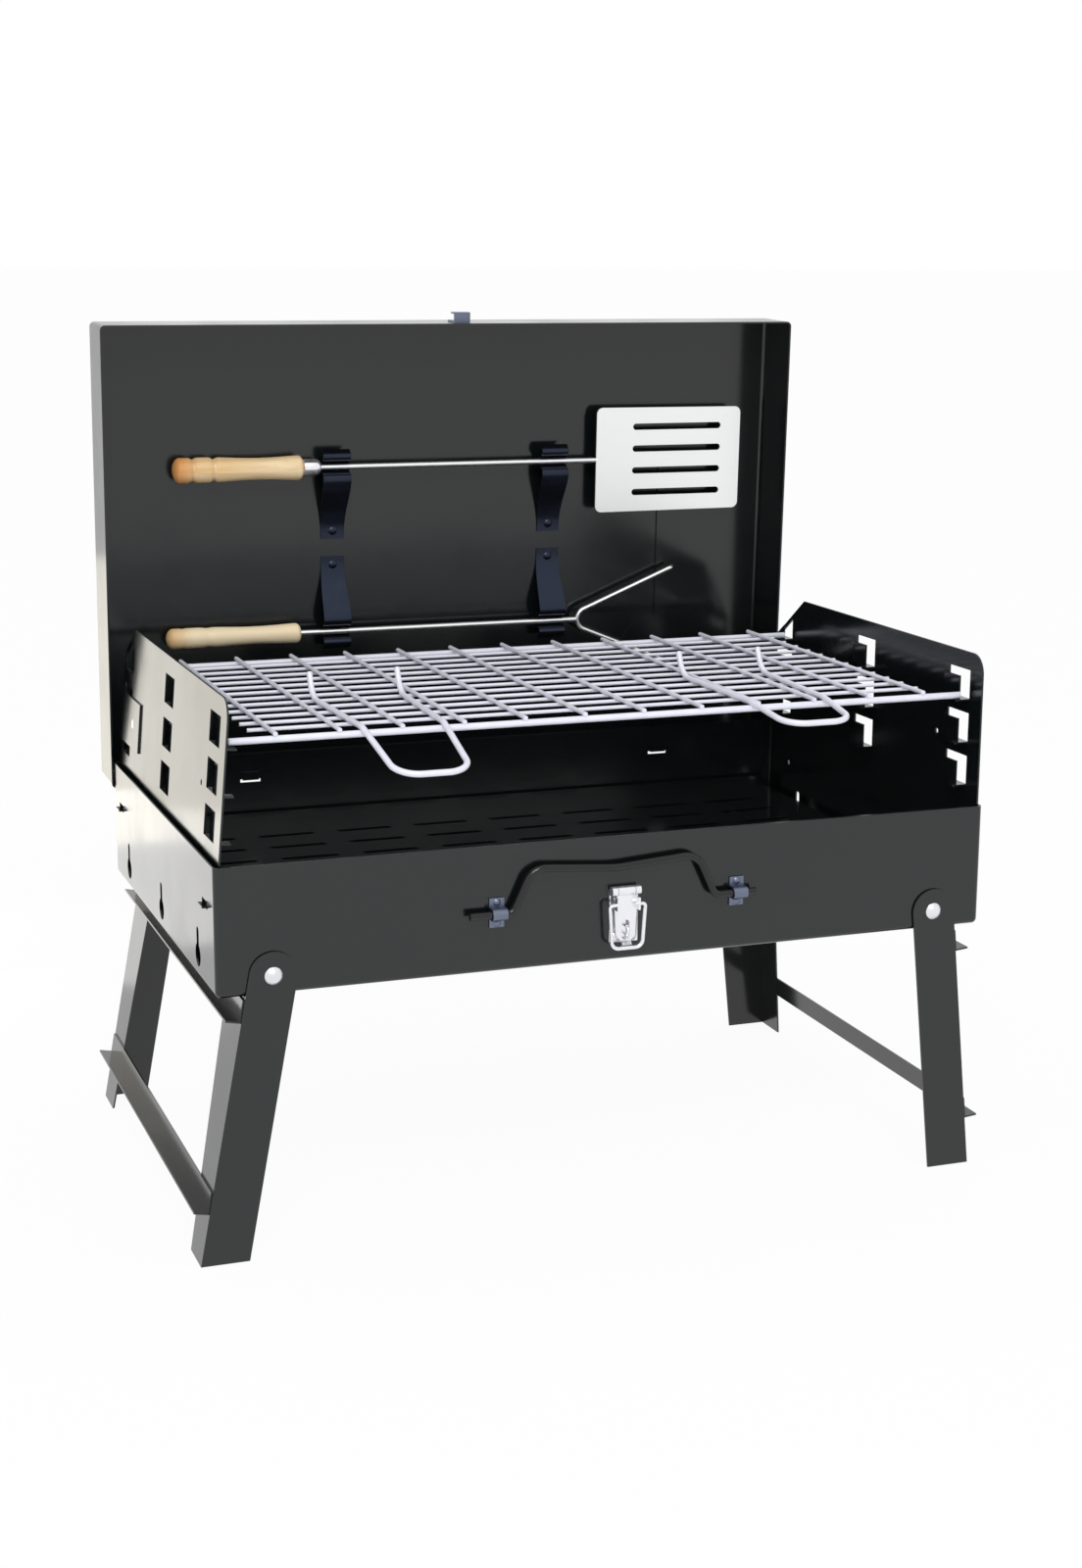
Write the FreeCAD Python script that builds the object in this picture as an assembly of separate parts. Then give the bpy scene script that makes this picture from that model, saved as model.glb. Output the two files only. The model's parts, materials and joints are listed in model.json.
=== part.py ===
import FreeCAD, Part
import math
import os

# Folding camp grill: a sheet-steel firebox on two pairs of folding legs, with a lid that
# stands open behind it, two fold-down side panels, a wire cooking grid, two tools clipped
# inside the lid, a toggle latch and a wire carrying handle.
# Millimetres. X runs to the right, Y to the back, Z up. The origin is on the floor, under
# the middle of the open grill.

# ---- firebox ----
BOX_LENGTH = 430.0
BOX_DEPTH = 268.0
BOX_HEIGHT = 67.0
SHEET = 1.0
EDGE_RADIUS = 3.0
GROUND_CLEARANCE = 140.0
NEST_GAP = 0.3
HEM_HEIGHT = 7.0
HEM_END_GAP = 8.0
VENT_BULB_RADIUS = 6.0
VENT_BULB_UP = 12.0
VENT_SLOT_WIDTH = 5.0
VENT_SLOT_UP = 27.0
VENT_PITCH = 93.0

# ---- charcoal grate ----
GRATE_HEIGHT = 22.0
GRATE_END_GAP = 5.0
GRATE_RIM = 8.0
GRATE_SLOT_LENGTH = 34.0
GRATE_SLOT_WIDTH = 5.0
GRATE_PITCH_X = 48.0
GRATE_PITCH_Y = 28.0

# ---- legs ----
LEFT_SPLAY = 10.5
RIGHT_SPLAY = 6.0
LEG_WIDTH = 25.0
LEG_INSET = 29.0
LEG_PIVOT_UP = 10.0
FLANGE_TOP = 40.0
FLANGE_FOOT = 22.0
BAR_HEIGHT = 12.0
BAR_SHELF = 8.0
LOWER_BAR_UP = 25.0
UPPER_BAR_DROP = 4.0
RIVET_RADIUS = 2.5
RIVET_HEAD_RADIUS = 4.6
RIVET_HEAD_RISE = 2.2
PIVOT_CLEARANCE = 0.06

# ---- lid ----
LID_DEPTH = 37.5
LID_LEAN = 2.1
LID_SWING = 90.0 - LID_LEAN
LID_RIM_GAP = 1.0
HINGE_UP = 52.0
HINGE_SPREAD = 133.0
TONGUE_WIDTH = 10.0
TONGUE_HOOK = 3.5
HOOK_GAP = 0.35
SLOT_MARGIN = 1.2
SLOT_DROP = 2 * SHEET + HOOK_GAP + 0.5
PLAQUE_LENGTH = 290.0
PLAQUE_WIDTH = 157.0
PLAQUE_SCOOP = 24.0
PLAQUE_FROM_HINGE = 133.0
PLAQUE_STEP = 1.0

# ---- side panels ----
PANEL_PIVOT_UP = 45.0
PANEL_TOP_UP = 150.0
LEFT_PANEL_LEAN = 4.8
PANEL_FRONT_GAP = 3.2
PANEL_REAR_GAP = 3.2
PANEL_CORNER = 11.0
LEFT_CUT_DEPTH = 27.0
LEFT_CUT_DROP = 16.0
RIGHT_CUT_DEPTH = 42.0
RIGHT_CUT_DROP = 29.0
PANEL_CUT_RIM = 2.5
PANEL_HOOK_PITCH = 112.0
WINDOW_WIDTH = 23.0
WINDOW_HEIGHT = 16.0
WINDOW_FIRST_UP = 76.0
WINDOW_ROWS = 3
WINDOW_ROW_PITCH = 24.0
WINDOW_COLUMNS = 3
WINDOW_FRONT_GAP = 16.0
WINDOW_REAR_GAP = 7.0
GRID_SHELF_REACH = 8.0
GRID_LIP_GAP = 2.1
GRID_LIP_HEIGHT = 12.3
GRID_SEAT = 6.2
STAY_LENGTH = 54.0
STAY_HEIGHT = 28.0
STAY_RIVET_INSET = 36.0
STAY_UP = 83.0
PEEP_HOLE_RADIUS = 1.6

# ---- cooking grid ----
FRAME_WIRE = 3.6
CROSS_WIRE = 2.4
THIN_WIRE = 2.0
WELD_SINK = 0.2
GRID_END_GAP = 4.4
CROSS_COUNT = 12
CROSS_PITCH = 33.0
CROSS_OVERHANG = 9.0
CROSS_TAIL = 2.5
THIN_COUNT = 12
THIN_START = 22.0
THIN_END = 15.0
LIFT_WIRE = 3.2
LEFT_LIFT_X = -111.5
RIGHT_LIFT_X = 104.0
LIFT_BACK_WIDTH = 49.0
LIFT_OVER_WIDTH = 43.0
LIFT_FRONT_WIDTH = 38.0
LEFT_LIFT_REACH = 35.0
RIGHT_LIFT_REACH = 20.0
LEFT_LIFT_DROOP = 14.0
RIGHT_LIFT_DROOP = 5.0
LIFT_BACK = 105.0
LIFT_KINK = 13.0
LIFT_BEND = 13.0

# ---- tools and their clips ----
TOOL_ROD = 3.5
TOOL_OFF_SHEET = 9.0
SPATULA_FROM_HINGE = 182.5
FORK_FROM_HINGE = 81.5
CLIP_SIDE_GAP = 144.75
CLIP_SPREAD = BOX_LENGTH - 2 * CLIP_SIDE_GAP
CLIP_SHIFT = -0.8
CLIP_WIDTH = 17.5
CLIP_FOOT_WIDTH = 10.0
CLIP_FOOT = 11.0
CLIP_SHEET = 0.8
CLIP_FEET_GAP = 11.0
CLIP_REACH = (SPATULA_FROM_HINGE - FORK_FROM_HINGE - CLIP_FEET_GAP) / 2
CLIP_RIVET_INSET = 5.0
CLIP_CROWN = 4.0
CLIP_NOSE = 12.0
CLIP_SADDLE = 2.9
CLIP_MOUTH = 6.5
CLIP_CURL = 10.6
CLIP_BEND = 2.2
SPATULA_SIDE_GAP = 44.0
SPATULA_HANDLE = 79.5
SPATULA_HANDLE_RADIUS = 7.5
FERRULE_LENGTH = 11.0
FERRULE_RADIUS = 5.2
BLADE_SIDE_GAP = 20.0
BLADE_LENGTH = 98.0
BLADE_WIDTH = 65.5
BLADE_TAPER = 0.5
BLADE_SHEET = 1.2
BLADE_CORNER = 4.0
BLADE_SLOTS = 4
BLADE_SLOT_LENGTH = 60.0
BLADE_SLOT_WIDTH = 4.0
BLADE_SLOT_PITCH = 13.7
BLADE_SLOT_INSET = 24.5
WELD_LAP = 18.0
FORK_SIDE_GAP = 38.3
FORK_HANDLE = 83.0
FORK_HANDLE_RADIUS = 6.2
FORK_APEX_FROM_SIDE = 129.0
PRONG_LENGTH = 77.0
PRONG_ANGLE = 24.2
PRONG_WIRE = 3.0
PRONG_BEND = 3.0

# ---- front hardware ----
CARRY_SHIFT = -4.0
CARRY_WIRE = 4.0
CARRY_STAND_OFF = 4.6
CARRY_PIVOT_UP = 32.0
CARRY_SHOULDER_RISE = 23.0
CARRY_MIDDLE_RISE = 19.5
CARRY_SHOULDER_OUT = 46.0
CARRY_FOOT_OUT = 56.5
CARRY_END_OUT = 80.0
CARRY_FOOT_BEND = 5.0
CARRY_SHOULDER_BEND = 11.0
CARRY_MIDDLE_BEND = 60.0
STRAP_SHIFT = -0.8
STRAP_SPREAD = 134.8
STRAP_WIDTH = 8.0
STRAP_FOOT = 4.5
LATCH_SHIFT = 2.0
LATCH_TOP_UP = 38.4
LATCH_BOTTOM_UP = 10.0
LATCH_WIDTH = 16.0
LATCH_RIVET_INSET = 3.0
LATCH_RIVET_UP = 3.5
KNUCKLE_RADIUS = 2.6
KNUCKLE_LENGTH = 3.0
KNUCKLE_PIN = 1.0
LEVER_WIDTH = 13.0
LEVER_FOOT_WIDTH = 11.0
LEVER_FOOT_UP = 1.0
LEVER_NECK_GAP = 0.6
LEVER_SLOT_WIDTH = 4.6
LEVER_SLOT_SPARE = 2.0
CHEEK_FRONT = 2.0
CHEEK_BELOW = 3.0
BAIL_WIRE = 2.0
BAIL_WIDTH = 20.0
BAIL_FOOT_WIDTH = 17.0
BAIL_PIVOT_DROP = 6.8
BAIL_STAND_OFF = 2.6
BAIL_LENGTH = 23.5
BAIL_BEND = 1.6
BAIL_FOOT_BEND = 4.0
STAPLE_WIRE = 1.6
STAPLE_UP = 17.3
STAPLE_RADIUS = 2.2
STAPLE_REACH = 6.5
CATCH_WIDTH = 10.0
CATCH_LENGTH = 12.0
CATCH_FROM_RIM = 8.0
CATCH_OUT = 5.0
SMALL_RIVET = 1.5
SMALL_RIVET_RISE = 1.1
FRONT_RIVET_HEAD = 2.1
CLIP_RIVET_HEAD = 2.8
STAY_RIVET_HEAD = 2.6
STAY_RIVET_RISE = 0.5

V = FreeCAD.Vector

# ---- places worked out from the sizes above ----
FRONT_REACH = max(LEFT_LIFT_REACH, RIGHT_LIFT_REACH) + LIFT_WIRE / 2
REAR_REACH = (
    (LID_DEPTH - EDGE_RADIUS) * math.cos(math.radians(LID_LEAN))
    - (EDGE_RADIUS - SHEET - NEST_GAP) * math.sin(math.radians(LID_LEAN))
    + EDGE_RADIUS
)
FRONT = (FRONT_REACH - REAR_REACH - BOX_DEPTH) / 2
REAR = FRONT + BOX_DEPTH
MIDDLE = (FRONT + REAR) / 2
SIDE = BOX_LENGTH / 2
BOX_BOTTOM = GROUND_CLEARANCE
BOX_TOP = BOX_BOTTOM + BOX_HEIGHT
LEG_PIVOT_X = SIDE - LEG_INSET
LEG_PIVOT_Z = BOX_BOTTOM + LEG_PIVOT_UP
HINGE_Z = BOX_BOTTOM + HINGE_UP
PANEL_PIVOT_Z = BOX_BOTTOM + PANEL_PIVOT_UP
PANEL_OUTER = SIDE - SHEET - NEST_GAP
PANEL_INNER = PANEL_OUTER - SHEET
PANEL_FRONT = FRONT + PANEL_FRONT_GAP
PANEL_REAR = REAR - PANEL_REAR_GAP
WINDOW_SPAN = BOX_DEPTH - WINDOW_FRONT_GAP - WINDOW_REAR_GAP - WINDOW_WIDTH
WINDOW_COLUMN_PITCH = WINDOW_SPAN / (WINDOW_COLUMNS - 1)
TOP_ROW_Z = BOX_BOTTOM + WINDOW_FIRST_UP + (WINDOW_ROWS - 1) * WINDOW_ROW_PITCH
FRAME_Z = TOP_ROW_Z + NEST_GAP + FRAME_WIRE / 2
CROSS_Z = FRAME_Z + FRAME_WIRE / 2 + CROSS_WIRE / 2 - WELD_SINK
THIN_Z = CROSS_Z - CROSS_WIRE / 2 - THIN_WIRE / 2 + WELD_SINK
LIFT_Z = FRAME_Z + FRAME_WIRE / 2 + LIFT_WIRE / 2 - WELD_SINK
GRID_FRONT = FRONT + WINDOW_FRONT_GAP + GRID_SEAT / 2
GRID_REAR = GRID_FRONT + (WINDOW_COLUMNS - 1) * WINDOW_COLUMN_PITCH
GRID_RIGHT = PANEL_INNER - GRID_END_GAP
GRID_LEFT = (FRAME_Z - PANEL_PIVOT_Z) * math.sin(math.radians(LEFT_PANEL_LEAN)) - GRID_RIGHT
GRID_MIDDLE = (GRID_LEFT + GRID_RIGHT) / 2
LID_SIDE = SIDE + NEST_GAP + SHEET
LID_FRONT = FRONT - NEST_GAP - SHEET
LID_REAR = REAR + NEST_GAP + SHEET
LID_RIM_Z = HINGE_Z + LID_RIM_GAP
LID_TOP_Z = HINGE_Z + LID_DEPTH
TOOL_Z = LID_TOP_Z - SHEET + PLAQUE_STEP - TOOL_OFF_SHEET
SPATULA_BUTT = SPATULA_SIDE_GAP - SIDE
BLADE_LEFT = SIDE - BLADE_SIDE_GAP - BLADE_LENGTH
FORK_BUTT = FORK_SIDE_GAP - SIDE
FORK_APEX = SIDE - FORK_APEX_FROM_SIDE
CARRY_Y = FRONT - CARRY_STAND_OFF
CARRY_Z = BOX_BOTTOM + CARRY_PIVOT_UP
KNUCKLE_Y = FRONT - SHEET - KNUCKLE_RADIUS
KNUCKLE_Z = BOX_BOTTOM + LATCH_TOP_UP
LEVER_BACK = KNUCKLE_Y + SHEET / 2
BAIL_Y = LEVER_BACK - SHEET - BAIL_STAND_OFF
BAIL_Z = KNUCKLE_Z - BAIL_PIVOT_DROP


# ---- shapes used by several pieces ----
def block(x0, x1, y0, y1, z0, z1):
    """A box between two corners."""
    return Part.makeBox(x1 - x0, y1 - y0, z1 - z0, V(x0, y0, z0))


def rod(start, end, radius):
    """A round bar from one point to another."""
    return Part.makeCylinder(radius, (end - start).Length, start, end - start)


def prism(points, along):
    """A closed outline of points carried straight along a vector."""
    return Part.Face(Part.makePolygon(points + points[:1])).extrude(along)


def join(shapes):
    """One solid from overlapping shapes."""
    return shapes[0].fuse(shapes[1:]).removeSplitter()


def mirror_x(shape):
    """The same piece for the other side of the grill."""
    return shape.mirror(V(0, 0, 0), V(1, 0, 0))


def mirror_y(shape):
    """The same piece for the other end of the firebox."""
    return shape.mirror(V(0, MIDDLE, 0), V(0, 1, 0))


def runs_along(edge, axis):
    """Whether a straight edge is parallel to an axis."""
    ends = edge.Vertexes[-1].Point - edge.Vertexes[0].Point
    return abs(ends.dot(axis)) > 0.999 * ends.Length


def rounded_tray(x0, x1, y0, y1, z0, z1, radius, floor_z):
    """A box with its upright edges and the edges of one end, at floor_z, rounded."""
    solid = block(x0, x1, y0, y1, z0, z1)
    upright = [e for e in solid.Edges if runs_along(e, V(0, 0, 1))]
    rim = [e for e in solid.Edges if all(abs(v.Z - floor_z) < 0.01 for v in e.Vertexes)]
    return solid.makeFillet(radius, upright + rim)


def bent_path(points, bend):
    """Straight runs joined by tangent arcs: one radius, or a list with one a corner."""
    edges = []
    last = points[0]
    radii = bend if isinstance(bend, list) else [bend] * (len(points) - 2)
    for before, corner, after, radius in zip(points, points[1:], points[2:], radii):
        back = (before - corner).normalize()
        ahead = (after - corner).normalize()
        half_turn = (math.pi - back.getAngle(ahead)) / 2
        setback = radius * math.tan(half_turn)
        start = corner + back * setback
        end = corner + ahead * setback
        inside = (back + ahead).normalize()
        middle = corner + inside * (radius / math.cos(half_turn) - radius)
        edges.append(Part.makeLine(last, start))
        edges.append(Part.Arc(start, middle, end).toShape())
        last = end
    edges.append(Part.makeLine(last, points[-1]))
    return Part.Wire(edges)


def bent_wire(points, diameter, bend):
    """A round wire bent along points."""
    path = bent_path(points, bend)
    section = Part.Wire(Part.makeCircle(diameter / 2, points[0], points[1] - points[0]))
    return path.makePipeShell([section], True, False)


def strip_outline(centre, thickness):
    """The closed outline of a strip whose middle follows (a, b) points in a plane."""
    left, right = [], []
    for i, (a, b) in enumerate(centre):
        before = centre[max(i - 1, 0)]
        after = centre[min(i + 1, len(centre) - 1)]
        first = math.atan2(b - before[1], a - before[0]) if i else None
        second = math.atan2(after[1] - b, after[0] - a) if after != (a, b) else first
        first = second if first is None else first
        half = (second - first + math.pi) % (2 * math.pi) / 2 - math.pi / 2
        reach = thickness / 2 / math.cos(half)
        normal = first + half + math.pi / 2
        left.append((a + reach * math.cos(normal), b + reach * math.sin(normal)))
        right.append((a - reach * math.cos(normal), b - reach * math.sin(normal)))
    return left + right[::-1]


def bent_strip(centre, thickness, x0, x1):
    """A bent strip of sheet, drawn in the plane across X and as wide as x0 to x1."""
    outline = [V(x0, a, b) for a, b in strip_outline(centre, thickness)]
    return prism(outline, V(x1 - x0, 0, 0))


def domed_rivet(face, outward, shank_radius, head_radius, rise, grip):
    """A rivet: a domed head on a face, and a shank of the grip's length behind it."""
    ball = (head_radius**2 + rise**2) / (2 * rise)
    half_turn = math.asin(head_radius / ball) / 2
    on_dome = V(ball * math.sin(half_turn), 0, rise - ball + ball * math.cos(half_turn))
    dome = Part.Arc(V(0, 0, rise), on_dome, V(head_radius, 0, 0)).toShape()
    corners = [(head_radius, 0), (shank_radius, 0), (shank_radius, -grip), (0, -grip), (0, rise)]
    points = [V(a, 0, b) for a, b in corners]
    edges = [dome] + [Part.makeLine(a, b) for a, b in zip(points, points[1:])]
    rivet = Part.Face(Part.Wire(edges)).revolve(V(0, 0, 0), V(0, 0, 1), 360)
    turn = FreeCAD.Rotation(V(0, 0, 1), outward)
    return rivet.transformed(FreeCAD.Placement(face, turn).toMatrix())


def slot_cutter(centre, length, width, x_long, depth_axis, depth):
    """A round-ended slot to cut: x_long is the direction of its long side."""
    half = (length - width) / 2
    across = depth_axis.cross(x_long) * (width / 2)
    start = centre - depth_axis * (depth / 2)
    corners = [-x_long * half - across, x_long * half - across]
    corners += [x_long * half + across, -x_long * half + across]
    shapes = [prism([start + c for c in corners], depth_axis * depth)]
    for side in (-1, 1):
        shapes.append(
            Part.makeCylinder(width / 2, depth, start + x_long * half * side, depth_axis)
        )
    return join(shapes)


# ---- firebox ----
def vent_cutter(y):
    """A keyhole air vent through both side walls."""
    bulb_z = BOX_BOTTOM + VENT_BULB_UP
    bulb = rod(V(-SIDE - 1, y, bulb_z), V(SIDE + 1, y, bulb_z), VENT_BULB_RADIUS)
    half = VENT_SLOT_WIDTH / 2
    top = BOX_BOTTOM + VENT_SLOT_UP - half
    slot = block(-SIDE - 1, SIDE + 1, y - half, y + half, bulb_z, top)
    tip = rod(V(-SIDE - 1, y, top), V(SIDE + 1, y, top), half)
    return join([bulb, slot, tip])


def hook_slots():
    """Windows in the walls for the lid's tongues and the side panels' hooks."""
    half = TONGUE_WIDTH / 2 + SLOT_MARGIN
    cuts = []
    for x in (-HINGE_SPREAD, HINGE_SPREAD):
        z0, z1 = HINGE_Z - SLOT_DROP, HINGE_Z + SLOT_MARGIN
        cuts.append(block(x - half, x + half, REAR - 2 * SHEET, REAR + 1, z0, z1))
    for y in (MIDDLE - PANEL_HOOK_PITCH, MIDDLE + PANEL_HOOK_PITCH):
        z0, z1 = PANEL_PIVOT_Z - SLOT_DROP, PANEL_PIVOT_Z + SLOT_MARGIN
        cuts.append(block(-SIDE - 1, SIDE + 1, y - half, y + half, z0, z1))
    return cuts


def firebox():
    """The tray: folded sheet walls, a hemmed front rim, vents, slots and rivet holes."""
    outer = rounded_tray(
        -SIDE, SIDE, FRONT, REAR, BOX_BOTTOM, BOX_TOP, EDGE_RADIUS, BOX_BOTTOM
    )
    inner = rounded_tray(
        SHEET - SIDE, SIDE - SHEET, FRONT + SHEET, REAR - SHEET,
        BOX_BOTTOM + SHEET, BOX_TOP + 1, EDGE_RADIUS - SHEET, BOX_BOTTOM + SHEET,
    )
    hem_end = SIDE - SHEET - HEM_END_GAP
    hem = block(
        -hem_end, hem_end, FRONT + SHEET / 2, FRONT + 2 * SHEET, BOX_TOP - HEM_HEIGHT, BOX_TOP
    )
    cuts = [vent_cutter(MIDDLE + i * VENT_PITCH) for i in (-1, 0, 1)]
    cuts += hook_slots()
    for x in (-LEG_PIVOT_X, LEG_PIVOT_X):
        hole_start = V(x, FRONT - SHEET, LEG_PIVOT_Z)
        cuts.append(rod(hole_start, V(x, REAR + SHEET, LEG_PIVOT_Z), RIVET_RADIUS))
    for point in latch_rivet_points() + strap_rivet_points():
        cuts.append(rod(point - V(0, 2 * SHEET, 0), point + V(0, 2 * SHEET, 0), SMALL_RIVET))
    return outer.cut(inner).fuse(hem).cut(cuts).removeSplitter()


def charcoal_grate():
    """A slotted plate with turned-up long rims, standing on its turned-down ends."""
    x1 = SIDE - SHEET - GRATE_END_GAP
    y0, y1 = FRONT + SHEET + GRATE_END_GAP, REAR - SHEET - GRATE_END_GAP
    floor = BOX_BOTTOM + SHEET
    top = floor + GRATE_HEIGHT
    section = [(y0, top + GRATE_RIM), (y0, top), (y1, top), (y1, top + GRATE_RIM)]
    plate = bent_strip(section, SHEET, -x1, x1)
    ends = [
        block(min(x, x - s), max(x, x - s), y0 + SHEET, y1 - SHEET, floor, top)
        for x, s in ((-x1, -SHEET), (x1, SHEET))
    ]
    columns = int((2 * x1 - GRATE_SLOT_LENGTH) / GRATE_PITCH_X)
    rows = int((y1 - y0 - GRATE_SLOT_WIDTH) / GRATE_PITCH_Y)
    cuts = []
    for i in range(columns):
        for j in range(rows):
            x = (i - (columns - 1) / 2) * GRATE_PITCH_X
            y = MIDDLE + (j - (rows - 1) / 2) * GRATE_PITCH_Y
            cuts.append(
                slot_cutter(V(x, y, top), GRATE_SLOT_LENGTH, GRATE_SLOT_WIDTH,
                            V(1, 0, 0), V(0, 0, 1), 4 * SHEET)
            )
    return join([plate] + ends).cut(cuts)


def leg_rivets():
    """Four rivets that the legs turn on, each closed by a washer head inside the wall."""
    rivets = []
    for x in (-LEG_PIVOT_X, LEG_PIVOT_X):
        face = V(x, FRONT - NEST_GAP - SHEET - PIVOT_CLEARANCE, LEG_PIVOT_Z)
        grip = NEST_GAP + 2 * SHEET + PIVOT_CLEARANCE
        rivet = domed_rivet(
            face, V(0, -1, 0), RIVET_RADIUS, RIVET_HEAD_RADIUS, RIVET_HEAD_RISE, grip
        )
        tail_start = V(x, FRONT + SHEET, LEG_PIVOT_Z)
        tail = rod(tail_start, tail_start + V(0, SHEET, 0), RIVET_HEAD_RADIUS - 1)
        rivet = join([rivet, tail])
        rivets += [rivet, mirror_y(rivet)]
    return Part.makeCompound(rivets)


# ---- legs, drawn for the left side ----
def leg_frame_point(splay, down, out, y):
    """A point of a left leg: down along it from the pivot, and out from its middle."""
    turn = math.radians(splay)
    x = -LEG_PIVOT_X - down * math.sin(turn) - out * math.cos(turn)
    z = LEG_PIVOT_Z - down * math.cos(turn) + out * math.sin(turn)
    return V(x, y, z)


def leg_slab(splay, down0, down1, out0, out1, y0, y1):
    """A box square to a splayed left leg."""
    corners = [(down0, out0), (down1, out0), (down1, out1), (down0, out1)]
    return prism([leg_frame_point(splay, d, o, y0) for d, o in corners], V(0, y1 - y0, 0))


def front_leg(splay):
    """A left front leg: a flat plate on the wall and a flange that tapers to the foot."""
    y0 = FRONT - NEST_GAP - SHEET
    half = LEG_WIDTH / 2
    length = LEG_PIVOT_Z / math.cos(math.radians(splay)) + LEG_WIDTH
    plate = leg_slab(splay, 0, length, -half, half, y0, y0 + SHEET)
    cap_start = leg_frame_point(splay, 0, 0, y0)
    cap = Part.makeCylinder(half, SHEET, cap_start, V(0, 1, 0))
    inner, outer = half - SHEET, half
    taper = [(0, 0), (length, 0), (length, FLANGE_FOOT), (0, FLANGE_TOP)]
    outline = [leg_frame_point(splay, down, inner, y0 + depth) for down, depth in taper]
    thickness = leg_frame_point(splay, 0, outer, y0) - leg_frame_point(splay, 0, inner, y0)
    under_box = block(-2 * SIDE, 0, y0, REAR, 0, BOX_BOTTOM - NEST_GAP)
    flange = prism(outline, thickness).common(under_box)
    below_floor = block(-2 * SIDE, 0, y0 - 1, REAR, -LEG_WIDTH * 2, 0)
    hole_start, hole_end = cap_start - V(0, SHEET, 0), cap_start + V(0, 3 * SHEET, 0)
    hole = rod(hole_start, hole_end, RIVET_RADIUS + PIVOT_CLEARANCE)
    return join([plate, cap, flange]).cut([below_floor, hole])


def cross_bar(splay, down):
    """An angle bar welded across the outer faces of two leg flanges."""
    half = LEG_WIDTH / 2
    y0, y1 = FRONT - NEST_GAP, REAR + NEST_GAP
    foot = down + BAR_HEIGHT
    web = leg_slab(splay, down, foot, half, half + SHEET, y0, y1)
    shelf = leg_slab(splay, foot - SHEET, foot, half, half + BAR_SHELF, y0, y1)
    return join([web, shelf])


def upper_bar_down(splay):
    """How far down the leg the upper bar starts, clear of the firebox."""
    return (LEG_PIVOT_UP + UPPER_BAR_DROP) / math.cos(math.radians(splay))


def lower_bar_down(splay):
    """How far down the leg the lower bar starts."""
    return (LEG_PIVOT_Z - LOWER_BAR_UP) / math.cos(math.radians(splay)) - BAR_HEIGHT


def leg_pieces(splay):
    """The left pair of legs with its two bars."""
    leg = front_leg(splay)
    return {
        "front_leg": leg,
        "rear_leg": mirror_y(leg),
        "lower_bar": cross_bar(splay, lower_bar_down(splay)),
        "upper_bar": cross_bar(splay, upper_bar_down(splay)),
    }


def middle_shift():
    """How far the grill moves right so that the two lower bars reach out equally far."""
    half = LEG_WIDTH / 2 + BAR_SHELF
    left, right = [
        -leg_frame_point(splay, lower_bar_down(splay) + BAR_HEIGHT, half, 0).x
        for splay in (LEFT_SPLAY, RIGHT_SPLAY)
    ]
    return (left - right) / 2


# ---- lid, drawn closed and then swung open ----
def open_lid(shape):
    """Turn a piece of the closed lid to where it stands open."""
    return shape.rotated(V(0, REAR, HINGE_Z), V(1, 0, 0), -LID_SWING)


def plaque_face(inset, z):
    """The raised panel of the lid: a rectangle with scooped corners."""
    half_x = PLAQUE_LENGTH / 2 - inset
    half_y = PLAQUE_WIDTH / 2 - inset
    middle = V(0, REAR - PLAQUE_FROM_HINGE, z)
    scoop = PLAQUE_SCOOP
    sheet = Part.makePlane(2 * half_x, 2 * half_y, middle - V(half_x, half_y, 0))
    bites = [
        Part.makeCylinder(scoop, 2, middle + V(i * half_x, j * half_y, -1))
        for i in (-1, 1)
        for j in (-1, 1)
    ]
    return sheet.cut(bites).Faces[0]


def lid_tongue(x):
    """A hinge tongue: it passes through the rear wall and hooks up behind it."""
    half = TONGUE_WIDTH / 2
    under = HINGE_Z - NEST_GAP - SHEET / 2
    behind = REAR - SHEET - HOOK_GAP - SHEET / 2
    root = REAR + LID_RIM_GAP + 2 * SHEET
    centre = [(root, under), (behind, under), (behind, HINGE_Z + TONGUE_HOOK)]
    return bent_strip(centre, SHEET, x - half, x + half)


def lid_shell():
    """The lid: a shallow pressed cover with a raised panel and two hinge tongues."""
    outer = rounded_tray(
        -LID_SIDE, LID_SIDE, LID_FRONT, LID_REAR, LID_RIM_Z, LID_TOP_Z, EDGE_RADIUS, LID_TOP_Z
    )
    inner = rounded_tray(
        SHEET - LID_SIDE, LID_SIDE - SHEET, LID_FRONT + SHEET, LID_REAR - SHEET,
        LID_RIM_Z - 1, LID_TOP_Z - SHEET, EDGE_RADIUS - SHEET, LID_TOP_Z - SHEET,
    )
    raised = plaque_face(0, LID_TOP_Z - SHEET / 2).extrude(V(0, 0, PLAQUE_STEP + SHEET / 2))
    recess = plaque_face(SHEET, LID_TOP_Z - 2 * SHEET).extrude(V(0, 0, PLAQUE_STEP + SHEET))
    holes = [
        rod(p + V(0, 0, -3), p + V(0, 0, 3), SMALL_RIVET) for p in clip_rivet_points()
    ]
    shell = open_lid(outer.cut(inner).fuse(raised).cut([recess] + holes))
    tongues = [lid_tongue(x) for x in (-HINGE_SPREAD, HINGE_SPREAD)]
    return join([shell] + tongues)


def lid_catch():
    """The hook on the lid's front wall that the latch bail pulls down."""
    y = LID_FRONT - SHEET / 2
    low = LID_RIM_Z + CATCH_FROM_RIM
    centre = [(y, low + CATCH_LENGTH), (y, low), (y - CATCH_OUT, low)]
    centre.append((y - CATCH_OUT, low + CATCH_LENGTH / 2))
    half = CATCH_WIDTH / 2
    return open_lid(
        bent_strip(centre, SHEET, LATCH_SHIFT - half, LATCH_SHIFT + half)
    )


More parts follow.
